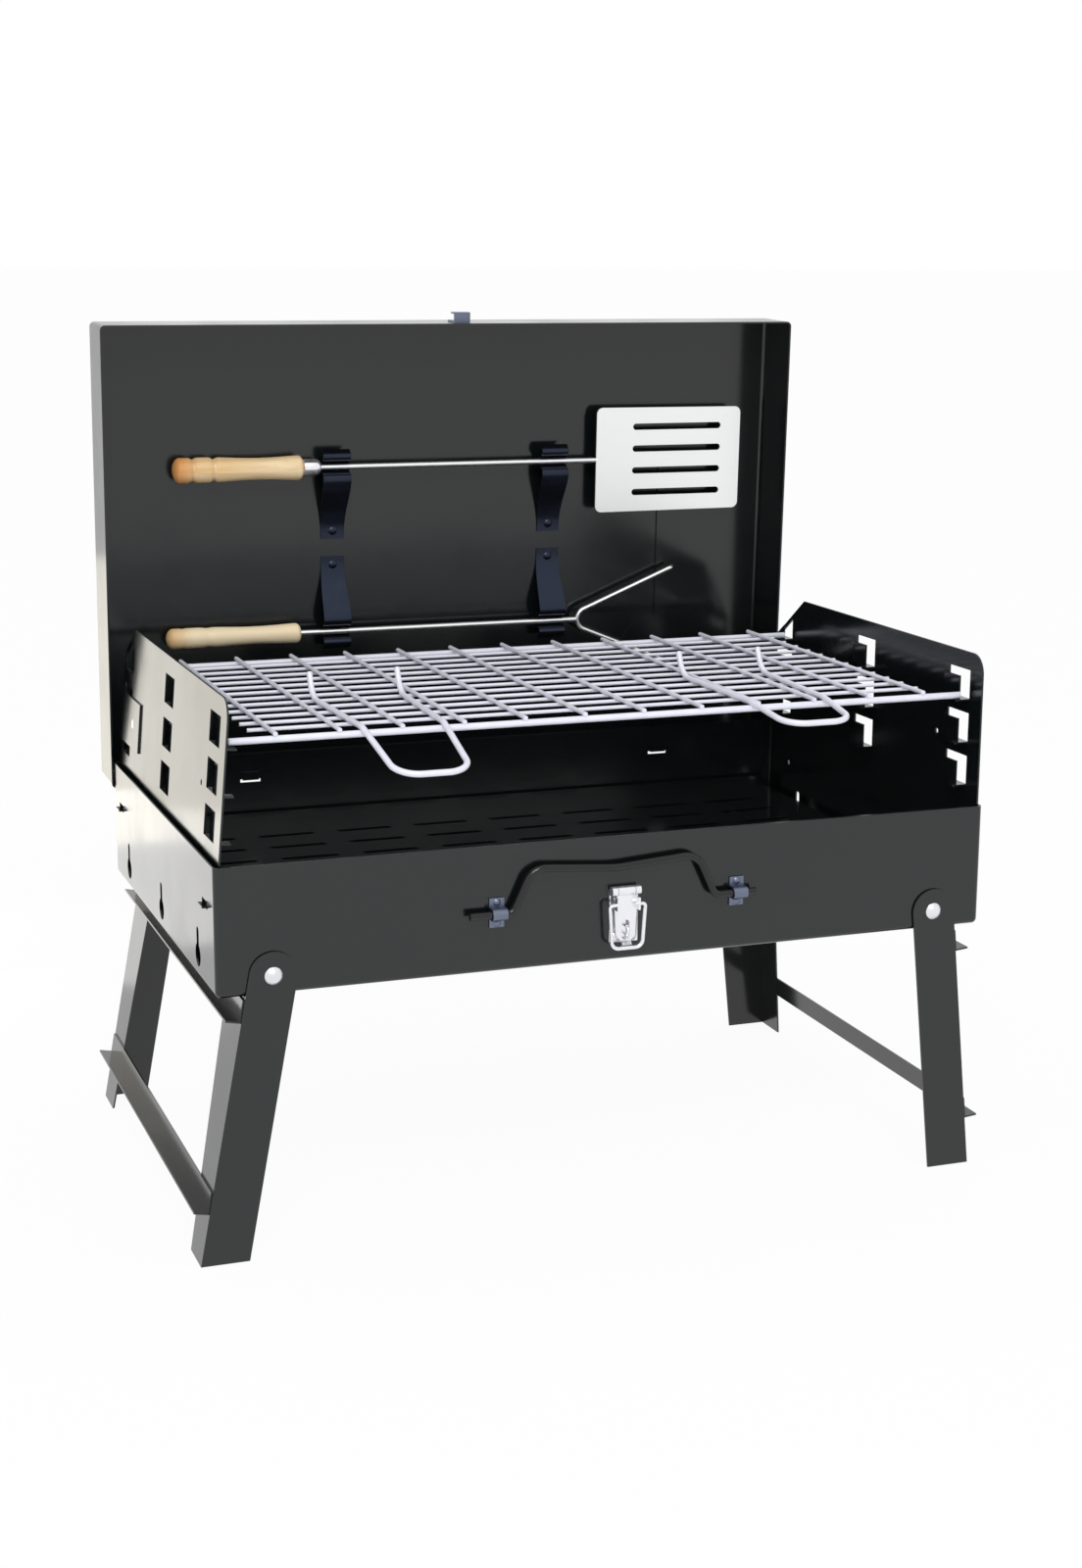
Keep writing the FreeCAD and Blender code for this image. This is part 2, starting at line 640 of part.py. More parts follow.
def clip_places():
    """Each tool clip: the middle of its width, its rod's distance from the hinge, and
    which way its foot lies from the rod."""
    places = []
    for x in (CLIP_SHIFT - CLIP_SPREAD / 2, CLIP_SHIFT + CLIP_SPREAD / 2):
        places.append((x, SPATULA_FROM_HINGE, -1))
        places.append((x, FORK_FROM_HINGE, 1))
    return places


def clip_rivet_points():
    """Where the clips' rivets pass through the lid sheet."""
    z = LID_TOP_Z + PLAQUE_STEP - SHEET
    return [
        V(x, REAR - from_hinge - way * (CLIP_REACH - CLIP_RIVET_INSET), z)
        for x, from_hinge, way in clip_places()
    ]


def tool_clip(x, from_hinge, way):
    """A spring clip: a narrow foot on the lid, a ramp to a nose, a saddle for the rod
    and a curl. Its strip widens from the foot to the rod."""
    bottom = TOOL_OFF_SHEET - TOOL_ROD / 2 - NEST_GAP - CLIP_SHEET / 2
    crown = TOOL_OFF_SHEET + CLIP_CROWN
    profile = [
        (0, CLIP_SHEET / 2),
        (CLIP_FOOT, CLIP_SHEET / 2),
        (CLIP_REACH - CLIP_NOSE, crown - 1),
        (CLIP_REACH - CLIP_MOUTH, crown),
        (CLIP_REACH - CLIP_SADDLE, bottom),
        (CLIP_REACH + CLIP_SADDLE, bottom),
        (CLIP_REACH + CLIP_MOUTH, crown),
        (CLIP_REACH + CLIP_CURL, TOOL_OFF_SHEET - 0.5),
    ]
    sheet_z = LID_TOP_Z + PLAQUE_STEP - SHEET
    foot_y = REAR - from_hinge - way * CLIP_REACH
    half, foot_half = CLIP_WIDTH / 2, CLIP_FOOT_WIDTH / 2
    points = [V(x - half, foot_y + way * along, sheet_z - off) for along, off in profile]
    path = bent_path(points, CLIP_BEND)
    edge = V(0, 0, CLIP_SHEET / 2)
    across = V(CLIP_WIDTH, 0, 0)
    corners = [points[0] - edge, points[0] - edge + across, points[0] + edge + across]
    corners.append(points[0] + edge)
    section = Part.makePolygon(corners + corners[:1])
    strip = path.makePipeShell([section], True, False)
    sides = [(-1, foot_half), (CLIP_FOOT, foot_half), (CLIP_REACH - CLIP_NOSE, half)]
    sides.append((CLIP_REACH + 2 * CLIP_CURL, half))
    low = sheet_z - TOOL_OFF_SHEET - 2 * CLIP_CROWN
    outline = [V(x - wide, foot_y + way * along, low) for along, wide in sides]
    outline += [V(x + wide, foot_y + way * along, low) for along, wide in sides[::-1]]
    taper = prism(outline, V(0, 0, sheet_z + 1 - low))
    hole_y = foot_y + way * CLIP_RIVET_INSET
    hole = rod(V(x, hole_y, sheet_z - 3), V(x, hole_y, sheet_z + 1), SMALL_RIVET)
    return open_lid(strip.common(taper).cut(hole))


def tool_clip_rivets():
    """The four rivets that hold the clips' feet to the lid."""
    rivets = []
    for point in clip_rivet_points():
        face = point - V(0, 0, CLIP_SHEET)
        rivets.append(
            domed_rivet(face, V(0, 0, -1), SMALL_RIVET, CLIP_RIVET_HEAD, 1.2, CLIP_SHEET + SHEET)
        )
    return open_lid(Part.makeCompound(rivets))


# ---- tools, drawn in the closed lid ----
def turned_handle(butt, y, length, radius):
    """A turned wooden handle along X, with two grooves near its butt and a waist."""
    profile = [
        (0, 0), (0, 0.7 * radius), (2.5, radius), (0.13 * length, radius),
        (0.15 * length, 0.86 * radius), (0.17 * length, radius), (0.28 * length, 0.97 * radius),
        (0.30 * length, 0.84 * radius), (0.32 * length, 0.95 * radius),
        (0.70 * length, 0.72 * radius), (0.93 * length, 0.80 * radius), (length, 0.66 * radius),
        (length, 0),
    ]
    outline = [V(butt + a, y + r, TOOL_Z) for a, r in profile]
    face = Part.Face(Part.makePolygon(outline + outline[:1]))
    return face.revolve(V(butt, y, TOOL_Z), V(1, 0, 0), 360)


def tool_rod(x0, x1, y):
    """The round rod of a tool."""
    return rod(V(x0, y, TOOL_Z), V(x1, y, TOOL_Z), TOOL_ROD / 2)


def spatula_blade():
    """The slotted blade, a plate welded on the front of the rod's end."""
    y = REAR - SPATULA_FROM_HINGE
    z = TOOL_Z - TOOL_ROD / 2 - BLADE_SHEET + WELD_SINK
    half = BLADE_WIDTH / 2
    right = BLADE_LEFT + BLADE_LENGTH
    outline = [
        V(BLADE_LEFT, y - half, z), V(right, y - half + BLADE_TAPER, z),
        V(right, y + half - BLADE_TAPER, z), V(BLADE_LEFT, y + half, z),
    ]
    blade = prism(outline, V(0, 0, BLADE_SHEET))
    corners = [e for e in blade.Edges if runs_along(e, V(0, 0, 1))]
    blade = blade.makeFillet(BLADE_CORNER, corners)
    x = BLADE_LEFT + BLADE_SLOT_INSET + BLADE_SLOT_LENGTH / 2
    cuts = []
    for i in range(BLADE_SLOTS):
        slot_y = y + (i - (BLADE_SLOTS - 1) / 2) * BLADE_SLOT_PITCH
        cuts.append(
            slot_cutter(V(x, slot_y, z), BLADE_SLOT_LENGTH, BLADE_SLOT_WIDTH,
                        V(1, 0, 0), V(0, 0, 1), 4 * BLADE_SHEET)
        )
    return open_lid(blade.cut(cuts))


def spatula_pieces():
    """Handle, ferrule, rod and blade of the spatula."""
    y = REAR - SPATULA_FROM_HINGE
    ferrule_x = SPATULA_BUTT + SPATULA_HANDLE
    rod_x = ferrule_x + FERRULE_LENGTH
    handle = turned_handle(SPATULA_BUTT, y, SPATULA_HANDLE, SPATULA_HANDLE_RADIUS)
    cone = Part.makeCone(
        FERRULE_RADIUS, TOOL_ROD / 2 + 0.8, FERRULE_LENGTH, V(ferrule_x, y, TOOL_Z), V(1, 0, 0)
    )
    return {
        "spatula_handle": open_lid(handle),
        "spatula_ferrule": open_lid(cone),
        "spatula_rod": open_lid(tool_rod(rod_x, BLADE_LEFT + WELD_LAP, y)),
        "spatula_blade": spatula_blade(),
    }


def fork_pieces():
    """Handle, rod and prongs of the fork."""
    y = REAR - FORK_FROM_HINGE
    rod_x = FORK_BUTT + FORK_HANDLE
    angle = math.radians(PRONG_ANGLE)
    bend_set_back = PRONG_BEND / math.sin(angle) - PRONG_BEND
    apex = V(FORK_APEX + PRONG_WIRE / 2 - bend_set_back, y, TOOL_Z)
    along = PRONG_LENGTH * math.cos(angle)
    aside = PRONG_LENGTH * math.sin(angle)
    tips = apex + V(along, aside, 0), apex + V(along, -aside, 0)
    prongs = bent_wire([tips[0], apex, tips[1]], PRONG_WIRE, PRONG_BEND)
    handle = turned_handle(FORK_BUTT, y, FORK_HANDLE, FORK_HANDLE_RADIUS)
    return {
        "fork_handle": open_lid(handle),
        "fork_rod": open_lid(tool_rod(rod_x, FORK_APEX + WELD_SINK, y)),
        "fork_prongs": open_lid(prongs),
    }


# ---- side panels, drawn for the left side ----
def panel_outline(cut):
    """The panel's edge: a rounded front top corner and a cut rear top corner."""
    cut_depth, cut_drop = cut
    top = BOX_BOTTOM + PANEL_TOP_UP
    x = -PANEL_OUTER
    a, b = V(x, PANEL_FRONT, PANEL_PIVOT_Z), V(x, PANEL_FRONT, top - PANEL_CORNER)
    corner = V(x, PANEL_FRONT + PANEL_CORNER, top - PANEL_CORNER)
    diagonal = PANEL_CORNER * math.sqrt(0.5)
    arc_middle = corner + V(0, -diagonal, diagonal)
    c = V(x, PANEL_FRONT + PANEL_CORNER, top)
    d = V(x, PANEL_REAR - cut_depth, top)
    e = V(x, PANEL_REAR, top - cut_drop)
    f = V(x, PANEL_REAR, PANEL_PIVOT_Z)
    edges = [Part.makeLine(a, b), Part.Arc(b, arc_middle, c).toShape()]
    edges += [Part.makeLine(p, q) for p, q in ((c, d), (d, e), (e, f), (f, a))]
    return Part.Face(Part.Wire(edges))


def window_places():
    """The front edge and the bottom of each window."""
    return [
        (
            FRONT + WINDOW_FRONT_GAP + i * WINDOW_COLUMN_PITCH,
            BOX_BOTTOM + WINDOW_FIRST_UP + j * WINDOW_ROW_PITCH,
        )
        for i in range(WINDOW_COLUMNS)
        for j in range(WINDOW_ROWS)
    ]


def under_cut(cut):
    """The room under the slanted rear top edge, a rim's width away from it."""
    cut_depth, cut_drop = cut
    top, low = BOX_BOTTOM + PANEL_TOP_UP, -BOX_LENGTH
    slope = math.atan2(cut_drop, cut_depth)
    drop = PANEL_CUT_RIM / math.cos(slope)
    steep = math.tan(slope) * BOX_LENGTH
    tip = PANEL_REAR - cut_depth
    y0, y1 = tip - BOX_LENGTH, tip + BOX_LENGTH
    outline = [(y0, low), (y1, low), (y1, top - drop - steep), (y0, top - drop + steep)]
    return prism([V(-2 * SIDE, a, b) for a, b in outline], V(2 * SIDE, 0, 0))


def grid_hook(y, z, room):
    """A tab lanced from a window: a narrow shelf at its front for a wire of the grid, and
    behind it a lip that keeps the wire from sliding back."""
    inner = -PANEL_INNER
    root = inner - SHEET / 2
    rear = y + WINDOW_WIDTH - NEST_GAP
    lip = inner + GRID_LIP_GAP + SHEET / 2
    centre = [(root, z - SHEET / 2), (lip, z - SHEET / 2), (lip, z + GRID_LIP_HEIGHT)]
    outline = [V(a, y + GRID_SEAT, b) for a, b in strip_outline(centre, SHEET)]
    hook = prism(outline, V(0, rear - y - GRID_SEAT, 0))
    foot = block(root, lip + SHEET / 2, y + NEST_GAP, rear, z - SHEET, z)
    shelf = block(
        root, inner + GRID_SHELF_REACH, y + NEST_GAP, y + GRID_SEAT, z - SHEET, z
    )
    return hook.fuse([foot, shelf]).common(room)


def panel_hinge_hook(y):
    """A hook at the panel's foot that passes out through the firebox wall."""
    half = TONGUE_WIDTH / 2
    middle = -PANEL_OUTER + SHEET / 2
    under = PANEL_PIVOT_Z - SHEET - HOOK_GAP - SHEET / 2
    centre = [(middle, PANEL_PIVOT_Z + 2), (middle, under)]
    centre.append((-SIDE + SHEET - TONGUE_HOOK, under))
    outline = [V(a, y - half, b) for a, b in strip_outline(centre, SHEET)]
    return prism(outline, V(0, TONGUE_WIDTH, 0))


def side_panel(cut):
    """The left side panel: windows, grid hooks, hinge hooks and the stay's rivet hole."""
    sheet = panel_outline(cut).extrude(V(SHEET, 0, 0))
    room = under_cut(cut)
    x0, x1 = -PANEL_OUTER - 1, -PANEL_INNER + 1
    cuts = [
        block(x0, x1, y, y + WINDOW_WIDTH, z, z + WINDOW_HEIGHT).common(room)
        for y, z in window_places()
    ]
    peep_y = FRONT + WINDOW_FRONT_GAP + 1.5 * WINDOW_WIDTH
    peep_z = BOX_BOTTOM + WINDOW_FIRST_UP + WINDOW_ROW_PITCH
    cuts.append(rod(V(x0, peep_y, peep_z), V(x1, peep_y, peep_z), PEEP_HOLE_RADIUS))
    stay = stay_rivet_point()
    cuts.append(rod(stay, stay + V(2 * SHEET, 0, 0), SMALL_RIVET))
    hooks = [grid_hook(y, z, room) for y, z in window_places()]
    hooks += [
        panel_hinge_hook(MIDDLE + way * PANEL_HOOK_PITCH) for way in (-1, 1)
    ]
    return join([sheet.cut(cuts)] + hooks)


def stay_rivet_point():
    """Where the stay plate is riveted to the panel's outer face."""
    y = PANEL_REAR - STAY_RIVET_INSET
    return V(-PANEL_OUTER, y, BOX_BOTTOM + STAY_UP + STAY_HEIGHT / 2)


def stay_plate():
    """The plate that stiffens the panel's rear end, on its outer face."""
    point = stay_rivet_point()
    z0 = BOX_BOTTOM + STAY_UP
    plate = block(
        -PANEL_OUTER - SHEET, -PANEL_OUTER, PANEL_REAR - STAY_LENGTH, PANEL_REAR,
        z0, z0 + STAY_HEIGHT,
    )
    return plate.cut(rod(point - V(2, 0, 0), point + V(2, 0, 0), SMALL_RIVET))


def stay_rivet():
    """The rivet of the stay plate, closed flush inside the panel."""
    face = stay_rivet_point() - V(SHEET, 0, 0)
    return domed_rivet(
        face, V(-1, 0, 0), SMALL_RIVET, STAY_RIVET_HEAD, STAY_RIVET_RISE, 2 * SHEET
    )


def panel_pieces(lean, cut):
    """A left panel with its stay, leaning in by an angle about its hinge line."""
    pivot = V(-PANEL_OUTER - NEST_GAP, 0, PANEL_PIVOT_Z)
    upright = {
        "side_panel": side_panel(cut),
        "stay_plate": stay_plate(),
        "stay_rivet": stay_rivet(),
    }
    return {name: s.rotated(pivot, V(0, 1, 0), lean) for name, s in upright.items()}


# ---- cooking grid ----
def grid_frame():
    """The front and rear thick wires, whose ends rest on the panels' shelves."""
    return Part.makeCompound([
        rod(V(GRID_LEFT, y, FRAME_Z), V(GRID_RIGHT, y, FRAME_Z), FRAME_WIRE / 2)
        for y in (GRID_FRONT, GRID_REAR)
    ])


def grid_cross_wires():
    """Wires from front to back, welded on top of the thick and the thin wires."""
    y0 = GRID_FRONT - FRAME_WIRE / 2 + NEST_GAP
    y1 = GRID_REAR + FRAME_WIRE / 2 + CROSS_TAIL
    wires = []
    for i in range(CROSS_COUNT):
        x = GRID_MIDDLE + (i - (CROSS_COUNT - 1) / 2) * CROSS_PITCH
        wires.append(rod(V(x, y0, CROSS_Z), V(x, y1, CROSS_Z), CROSS_WIRE / 2))
    return Part.makeCompound(wires)


def grid_thin_wires():
    """Thin wires across the grid, under the cross wires."""
    half = (CROSS_COUNT - 1) / 2 * CROSS_PITCH + CROSS_OVERHANG
    x0, x1 = GRID_MIDDLE - half, GRID_MIDDLE + half
    first, last = GRID_FRONT + THIN_START, GRID_REAR - THIN_END
    wires = []
    for i in range(THIN_COUNT):
        y = first + (last - first) * i / (THIN_COUNT - 1)
        wires.append(rod(V(x0, y, THIN_Z), V(x1, y, THIN_Z), THIN_WIRE / 2))
    return Part.makeCompound(wires)


def lift_handle(x, reach, droop):
    """A wire loop to lift the grid by: kinked up at the back, drooping at the front."""
    back = FRONT + LIFT_BACK
    side = []
    for way in (-1, 1):
        foot = V(x + way * LIFT_BACK_WIDTH / 2, back, LIFT_Z)
        kink = foot + V(0, LIFT_KINK / 2, LIFT_KINK)
        over = V(x + way * LIFT_OVER_WIDTH / 2, GRID_FRONT, LIFT_Z)
        loop = V(x + way * LIFT_FRONT_WIDTH / 2, FRONT - reach, LIFT_Z - droop)
        side.append([kink, foot, over, loop])
    return bent_wire(side[0] + side[1][::-1], LIFT_WIRE, LIFT_BEND)


# ---- carrying handle ----
def carry_handle():
    """The wire handle, standing up against the front wall."""
    shape = [
        (-CARRY_END_OUT, 0), (-CARRY_FOOT_OUT, 0), (-CARRY_SHOULDER_OUT, CARRY_SHOULDER_RISE),
        (0, CARRY_MIDDLE_RISE), (CARRY_SHOULDER_OUT, CARRY_SHOULDER_RISE),
        (CARRY_FOOT_OUT, 0), (CARRY_END_OUT, 0),
    ]
    points = [V(CARRY_SHIFT + x, CARRY_Y, CARRY_Z + z) for x, z in shape]
    bends = [CARRY_FOOT_BEND, CARRY_SHOULDER_BEND, CARRY_MIDDLE_BEND]
    return bent_wire(points, CARRY_WIRE, bends + bends[1::-1])


def strap_rivet_points():
    """The rivets of the two straps, on the front wall's outer face."""
    inner = CARRY_WIRE / 2 + NEST_GAP
    rise = inner + SHEET + STRAP_FOOT / 2
    return [
        V(STRAP_SHIFT + i * STRAP_SPREAD / 2, FRONT, CARRY_Z + j * rise)
        for i in (-1, 1)
        for j in (-1, 1)
    ]


def handle_strap(x):
    """A strap that holds the handle's end to the wall and lets it turn."""
    inner = CARRY_WIRE / 2 + NEST_GAP
    outer = inner + SHEET
    x0, x1 = x - STRAP_WIDTH / 2, x + STRAP_WIDTH / 2
    shapes = []
    for radius in (outer, inner):
        tube = rod(V(x0, CARRY_Y, CARRY_Z), V(x1, CARRY_Y, CARRY_Z), radius)
        neck = block(x0, x1, CARRY_Y, FRONT, CARRY_Z - radius, CARRY_Z + radius)
        shapes.append(tube.fuse(neck))
    reach = outer + STRAP_FOOT
    feet = block(x0, x1, FRONT - SHEET, FRONT, CARRY_Z - reach, CARRY_Z + reach)
    strap = join([shapes[0], feet]).cut(shapes[1])
    holes = [
        rod(p - V(0, 3, 0), p + V(0, 3, 0), SMALL_RIVET) for p in strap_rivet_points()
    ]
    return strap.cut(holes)


def handle_straps():
    """Both straps."""
    half = STRAP_SPREAD / 2
    return Part.makeCompound([handle_strap(STRAP_SHIFT + i * half) for i in (-1, 1)])


def front_rivets(points):
    """Small rivets through a plate and the front wall."""
    return Part.makeCompound([
        domed_rivet(p - V(0, SHEET, 0), V(0, -1, 0), SMALL_RIVET, FRONT_RIVET_HEAD, SMALL_RIVET_RISE,
                    2 * SHEET)
        for p in points
    ])


# ---- toggle latch ----
def latch_rivet_points():
    """The rivets of the latch's base."""
    z = BOX_BOTTOM + LATCH_BOTTOM_UP + LATCH_RIVET_UP
    aside = LATCH_WIDTH / 2 - LATCH_RIVET_INSET
    return [V(LATCH_SHIFT + i * aside, FRONT, z) for i in (-1, 1)]


def knuckle(x0, x1):
    """A rolled knuckle of the latch hinge, with its bore."""
    start, end = V(x0, KNUCKLE_Y, KNUCKLE_Z), V(x1, KNUCKLE_Y, KNUCKLE_Z)
    return rod(start, end, KNUCKLE_RADIUS), rod(start, end, KNUCKLE_PIN + PIVOT_CLEARANCE)


def latch_base():
    """The base plate: two end knuckles and the staple for a padlock."""
    x0, x1 = LATCH_SHIFT - LATCH_WIDTH / 2, LATCH_SHIFT + LATCH_WIDTH / 2
    z0 = BOX_BOTTOM + LATCH_BOTTOM_UP
    plate = block(x0, x1, FRONT - SHEET, FRONT, z0, KNUCKLE_Z)
    shapes = [plate]
    bores = []
    for a, b in ((x0, x0 + KNUCKLE_LENGTH), (x1 - KNUCKLE_LENGTH, x1)):
        barrel, bore = knuckle(a, b)
        web = block(a, b, KNUCKLE_Y, FRONT, KNUCKLE_Z - KNUCKLE_RADIUS, KNUCKLE_Z)
        shapes += [barrel, web]
        bores.append(bore)
    z = BOX_BOTTOM + STAPLE_UP
    out = FRONT - SHEET - STAPLE_REACH
    feet = [V(LATCH_SHIFT, FRONT - SHEET / 2, z + s * STAPLE_RADIUS) for s in (-1, 1)]
    tips = [V(LATCH_SHIFT, out, z + s * STAPLE_RADIUS) for s in (-1, 1)]
    shapes.append(bent_wire([feet[0], tips[0], tips[1], feet[1]], STAPLE_WIRE, STAPLE_RADIUS * 0.9))
    holes = [rod(p - V(0, 3, 0), p + V(0, 3, 0), SMALL_RIVET) for p in latch_rivet_points()]
    return join(shapes).cut(bores + holes)


def latch_pin():
    """The pin that the lever turns on."""
    half = LATCH_WIDTH / 2
    y, z = KNUCKLE_Y, KNUCKLE_Z
    return rod(V(LATCH_SHIFT - half, y, z), V(LATCH_SHIFT + half, y, z), KNUCKLE_PIN)


def latch_lever():
    """The lever: a knuckle, a plate with a round foot and cheeks for the bail, and a
    thumb tab."""
    knuckle_half = LATCH_WIDTH / 2 - KNUCKLE_LENGTH - NEST_GAP
    barrel, bore = knuckle(LATCH_SHIFT - knuckle_half, LATCH_SHIFT + knuckle_half)
    y = LEVER_BACK - SHEET
    top, foot = KNUCKLE_Z - 1.5, BOX_BOTTOM + LATCH_BOTTOM_UP + LEVER_FOOT_UP
    neck = KNUCKLE_Z - KNUCKLE_RADIUS - LEVER_NECK_GAP
    half, foot_half = LEVER_WIDTH / 2, LEVER_FOOT_WIDTH / 2
    round_z = foot + foot_half
    shape = [
        (-foot_half, round_z), (foot_half, round_z), (half, neck), (knuckle_half, neck),
        (knuckle_half, top), (-knuckle_half, top), (-knuckle_half, neck), (-half, neck),
    ]
    plate = prism([V(LATCH_SHIFT + x, y, z) for x, z in shape], V(0, SHEET, 0))
    round_foot = Part.makeCylinder(foot_half, SHEET, V(LATCH_SHIFT, y, round_z), V(0, 1, 0))
    tab_half = foot_half / 2
    middle_y = y + SHEET / 2
    tab_profile = [(middle_y, foot + 1.5), (middle_y, foot + 0.3), (y - 2.2, foot - 1.2)]
    tab = bent_strip(tab_profile, SHEET, LATCH_SHIFT - tab_half, LATCH_SHIFT + tab_half)
    cheeks = []
    for way in (-1, 1):
        outer = LATCH_SHIFT + way * half
        inner = outer - way * SHEET
        cheeks.append(
            block(min(inner, outer), max(inner, outer), BAIL_Y - CHEEK_FRONT, y + SHEET,
                  BAIL_Z - CHEEK_BELOW, neck)
        )
    slot = slot_cutter(
        V(LATCH_SHIFT, y, BOX_BOTTOM + STAPLE_UP), 4 * STAPLE_RADIUS + LEVER_SLOT_SPARE,
        LEVER_SLOT_WIDTH, V(0, 0, 1), V(0, 1, 0), 6 * SHEET,
    )
    pivot = rod(
        V(LATCH_SHIFT - LATCH_WIDTH, BAIL_Y, BAIL_Z), V(LATCH_SHIFT + LATCH_WIDTH, BAIL_Y, BAIL_Z),
        BAIL_WIRE / 2 + PIVOT_CLEARANCE,
    )
    return join([barrel, plate, round_foot, tab] + cheeks).cut([bore, slot, pivot])


def latch_bail():
    """The wire bail, narrower at its foot, its ends turned in through the lever's cheeks."""
    half, foot_half = BAIL_WIDTH / 2, BAIL_FOOT_WIDTH / 2
    inner = LEVER_WIDTH / 2 - 2 * SHEET
    side = [(inner, 0), (half, 0), (foot_half, -BAIL_LENGTH)]
    shape = [(-x, z) for x, z in side] + side[::-1]
    points = [V(LATCH_SHIFT + x, BAIL_Y, BAIL_Z + z) for x, z in shape]
    return bent_wire(points, BAIL_WIRE, [BAIL_BEND, BAIL_FOOT_BEND, BAIL_FOOT_BEND, BAIL_BEND])


# ---- every sub-part ----
def sub_parts():
    """Name and shape of each sub-part."""
    parts = {
        "firebox": firebox(),
        "charcoal_grate": charcoal_grate(),
        "leg_rivets": leg_rivets(),
        "handle_straps": handle_straps(),
        "handle_strap_rivets": front_rivets(strap_rivet_points()),
        "latch_base": latch_base(),
        "latch_pin": latch_pin(),
        "latch_rivets": front_rivets(latch_rivet_points()),
        "lid_shell": lid_shell(),
        "lid_catch": lid_catch(),
        "tool_clip_rivets": tool_clip_rivets(),
        "grid_frame": grid_frame(),
        "grid_cross_wires": grid_cross_wires(),
        "grid_thin_wires": grid_thin_wires(),
        "grid_left_lift": lift_handle(LEFT_LIFT_X, LEFT_LIFT_REACH, LEFT_LIFT_DROOP),
        "grid_right_lift": lift_handle(RIGHT_LIFT_X, RIGHT_LIFT_REACH, RIGHT_LIFT_DROOP),
        "latch_lever": latch_lever(),
        "latch_bail": latch_bail(),
        "carry_handle": carry_handle(),
    }
    clip_names = ("spatula_left_clip", "fork_left_clip", "spatula_right_clip", "fork_right_clip")
    for name, place in zip(clip_names, clip_places()):
        parts[name] = tool_clip(*place)
    parts.update(spatula_pieces())
    parts.update(fork_pieces())
    left = leg_pieces(LEFT_SPLAY)
    left.update(panel_pieces(LEFT_PANEL_LEAN, (LEFT_CUT_DEPTH, LEFT_CUT_DROP)))
    right = leg_pieces(RIGHT_SPLAY)
    right.update(panel_pieces(0.0, (RIGHT_CUT_DEPTH, RIGHT_CUT_DROP)))
    for name, shape in left.items():
        parts["left_" + name] = shape
    for name, shape in right.items():
        parts["right_" + name] = mirror_x(shape)
    return parts


os.makedirs("parts", exist_ok=True)
to_middle = V(middle_shift(), 0, 0)
for name, shape in sub_parts().items():
    shape.translated(to_middle).exportStep("parts/" + name + ".step")
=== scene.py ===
"""Folding camp grill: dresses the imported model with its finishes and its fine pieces."""
import json
import math

import bmesh
import bpy
import numpy as np
from bpy.props import FloatProperty, FloatVectorProperty, PointerProperty, StringProperty
from mathutils import Euler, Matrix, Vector


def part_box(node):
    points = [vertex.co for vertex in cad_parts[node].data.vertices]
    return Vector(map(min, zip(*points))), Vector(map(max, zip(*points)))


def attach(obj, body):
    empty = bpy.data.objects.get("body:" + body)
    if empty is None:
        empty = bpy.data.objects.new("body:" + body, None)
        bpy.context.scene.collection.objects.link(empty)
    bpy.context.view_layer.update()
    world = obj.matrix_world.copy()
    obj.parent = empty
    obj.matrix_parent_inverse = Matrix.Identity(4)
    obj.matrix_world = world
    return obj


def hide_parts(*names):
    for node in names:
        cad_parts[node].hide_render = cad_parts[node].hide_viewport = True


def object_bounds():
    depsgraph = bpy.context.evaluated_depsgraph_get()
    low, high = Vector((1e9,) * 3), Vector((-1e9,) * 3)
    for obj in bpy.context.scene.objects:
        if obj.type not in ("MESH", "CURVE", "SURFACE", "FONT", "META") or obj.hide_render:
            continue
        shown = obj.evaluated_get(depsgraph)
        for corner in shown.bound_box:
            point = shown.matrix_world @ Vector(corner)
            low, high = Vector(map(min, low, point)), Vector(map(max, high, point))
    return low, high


bl_info = {
    "name": "Folding Camp Grill",
    "version": (1, 0, 0),
    "blender": (4, 5, 0),
    "location": "View3D > Sidebar > Grill",
    "description": "Finishes, turned handles, spring clips and stage of a folding camp grill",
    "category": "Object",
}

MM = 0.001

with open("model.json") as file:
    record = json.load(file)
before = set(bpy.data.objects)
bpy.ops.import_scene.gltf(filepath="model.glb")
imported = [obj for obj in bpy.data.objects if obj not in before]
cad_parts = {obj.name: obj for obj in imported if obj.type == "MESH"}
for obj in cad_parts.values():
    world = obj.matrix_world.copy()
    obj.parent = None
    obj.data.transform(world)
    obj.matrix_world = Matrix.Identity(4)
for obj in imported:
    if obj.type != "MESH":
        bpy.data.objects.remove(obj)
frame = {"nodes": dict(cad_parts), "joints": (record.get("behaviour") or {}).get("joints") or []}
CAD_BOX = [list(corner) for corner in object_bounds()]
JOINTS = {joint["name"]: joint for joint in frame["joints"]}


# ---- reading the frame ----
def node_box(name):
    """Lowest and highest corner of a node, as numpy arrays in metres."""
    low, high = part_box(name)
    return np.array(low), np.array(high)


def lid_directions():
    """Unit vectors of the open lid: backwards through its sheet, and up along it."""
    backward = np.array(JOINTS["spatula_pull"]["axis"], float)
    backward *= np.sign(backward[1]) / np.linalg.norm(backward)
    return backward, np.array([0.0, -backward[2], backward[1]])


def node_reach(name, direction):
    """How far a node reaches along a direction: its least and greatest distance."""
    mesh = frame["nodes"][name].data
    points = np.empty(3 * len(mesh.vertices))
    mesh.vertices.foreach_get("co", points)
    reach = points.reshape(-1, 3) @ direction
    return reach.min(), reach.max()


def round_node(name):
    """Start of the axis, length and radius of a round node that lies along X."""
    low, high = node_box(name)
    start = np.array([low[0], (low[1] + high[1]) / 2, (low[2] + high[2]) / 2])
    return start, high[0] - low[0], (high[2] - low[2]) / 2


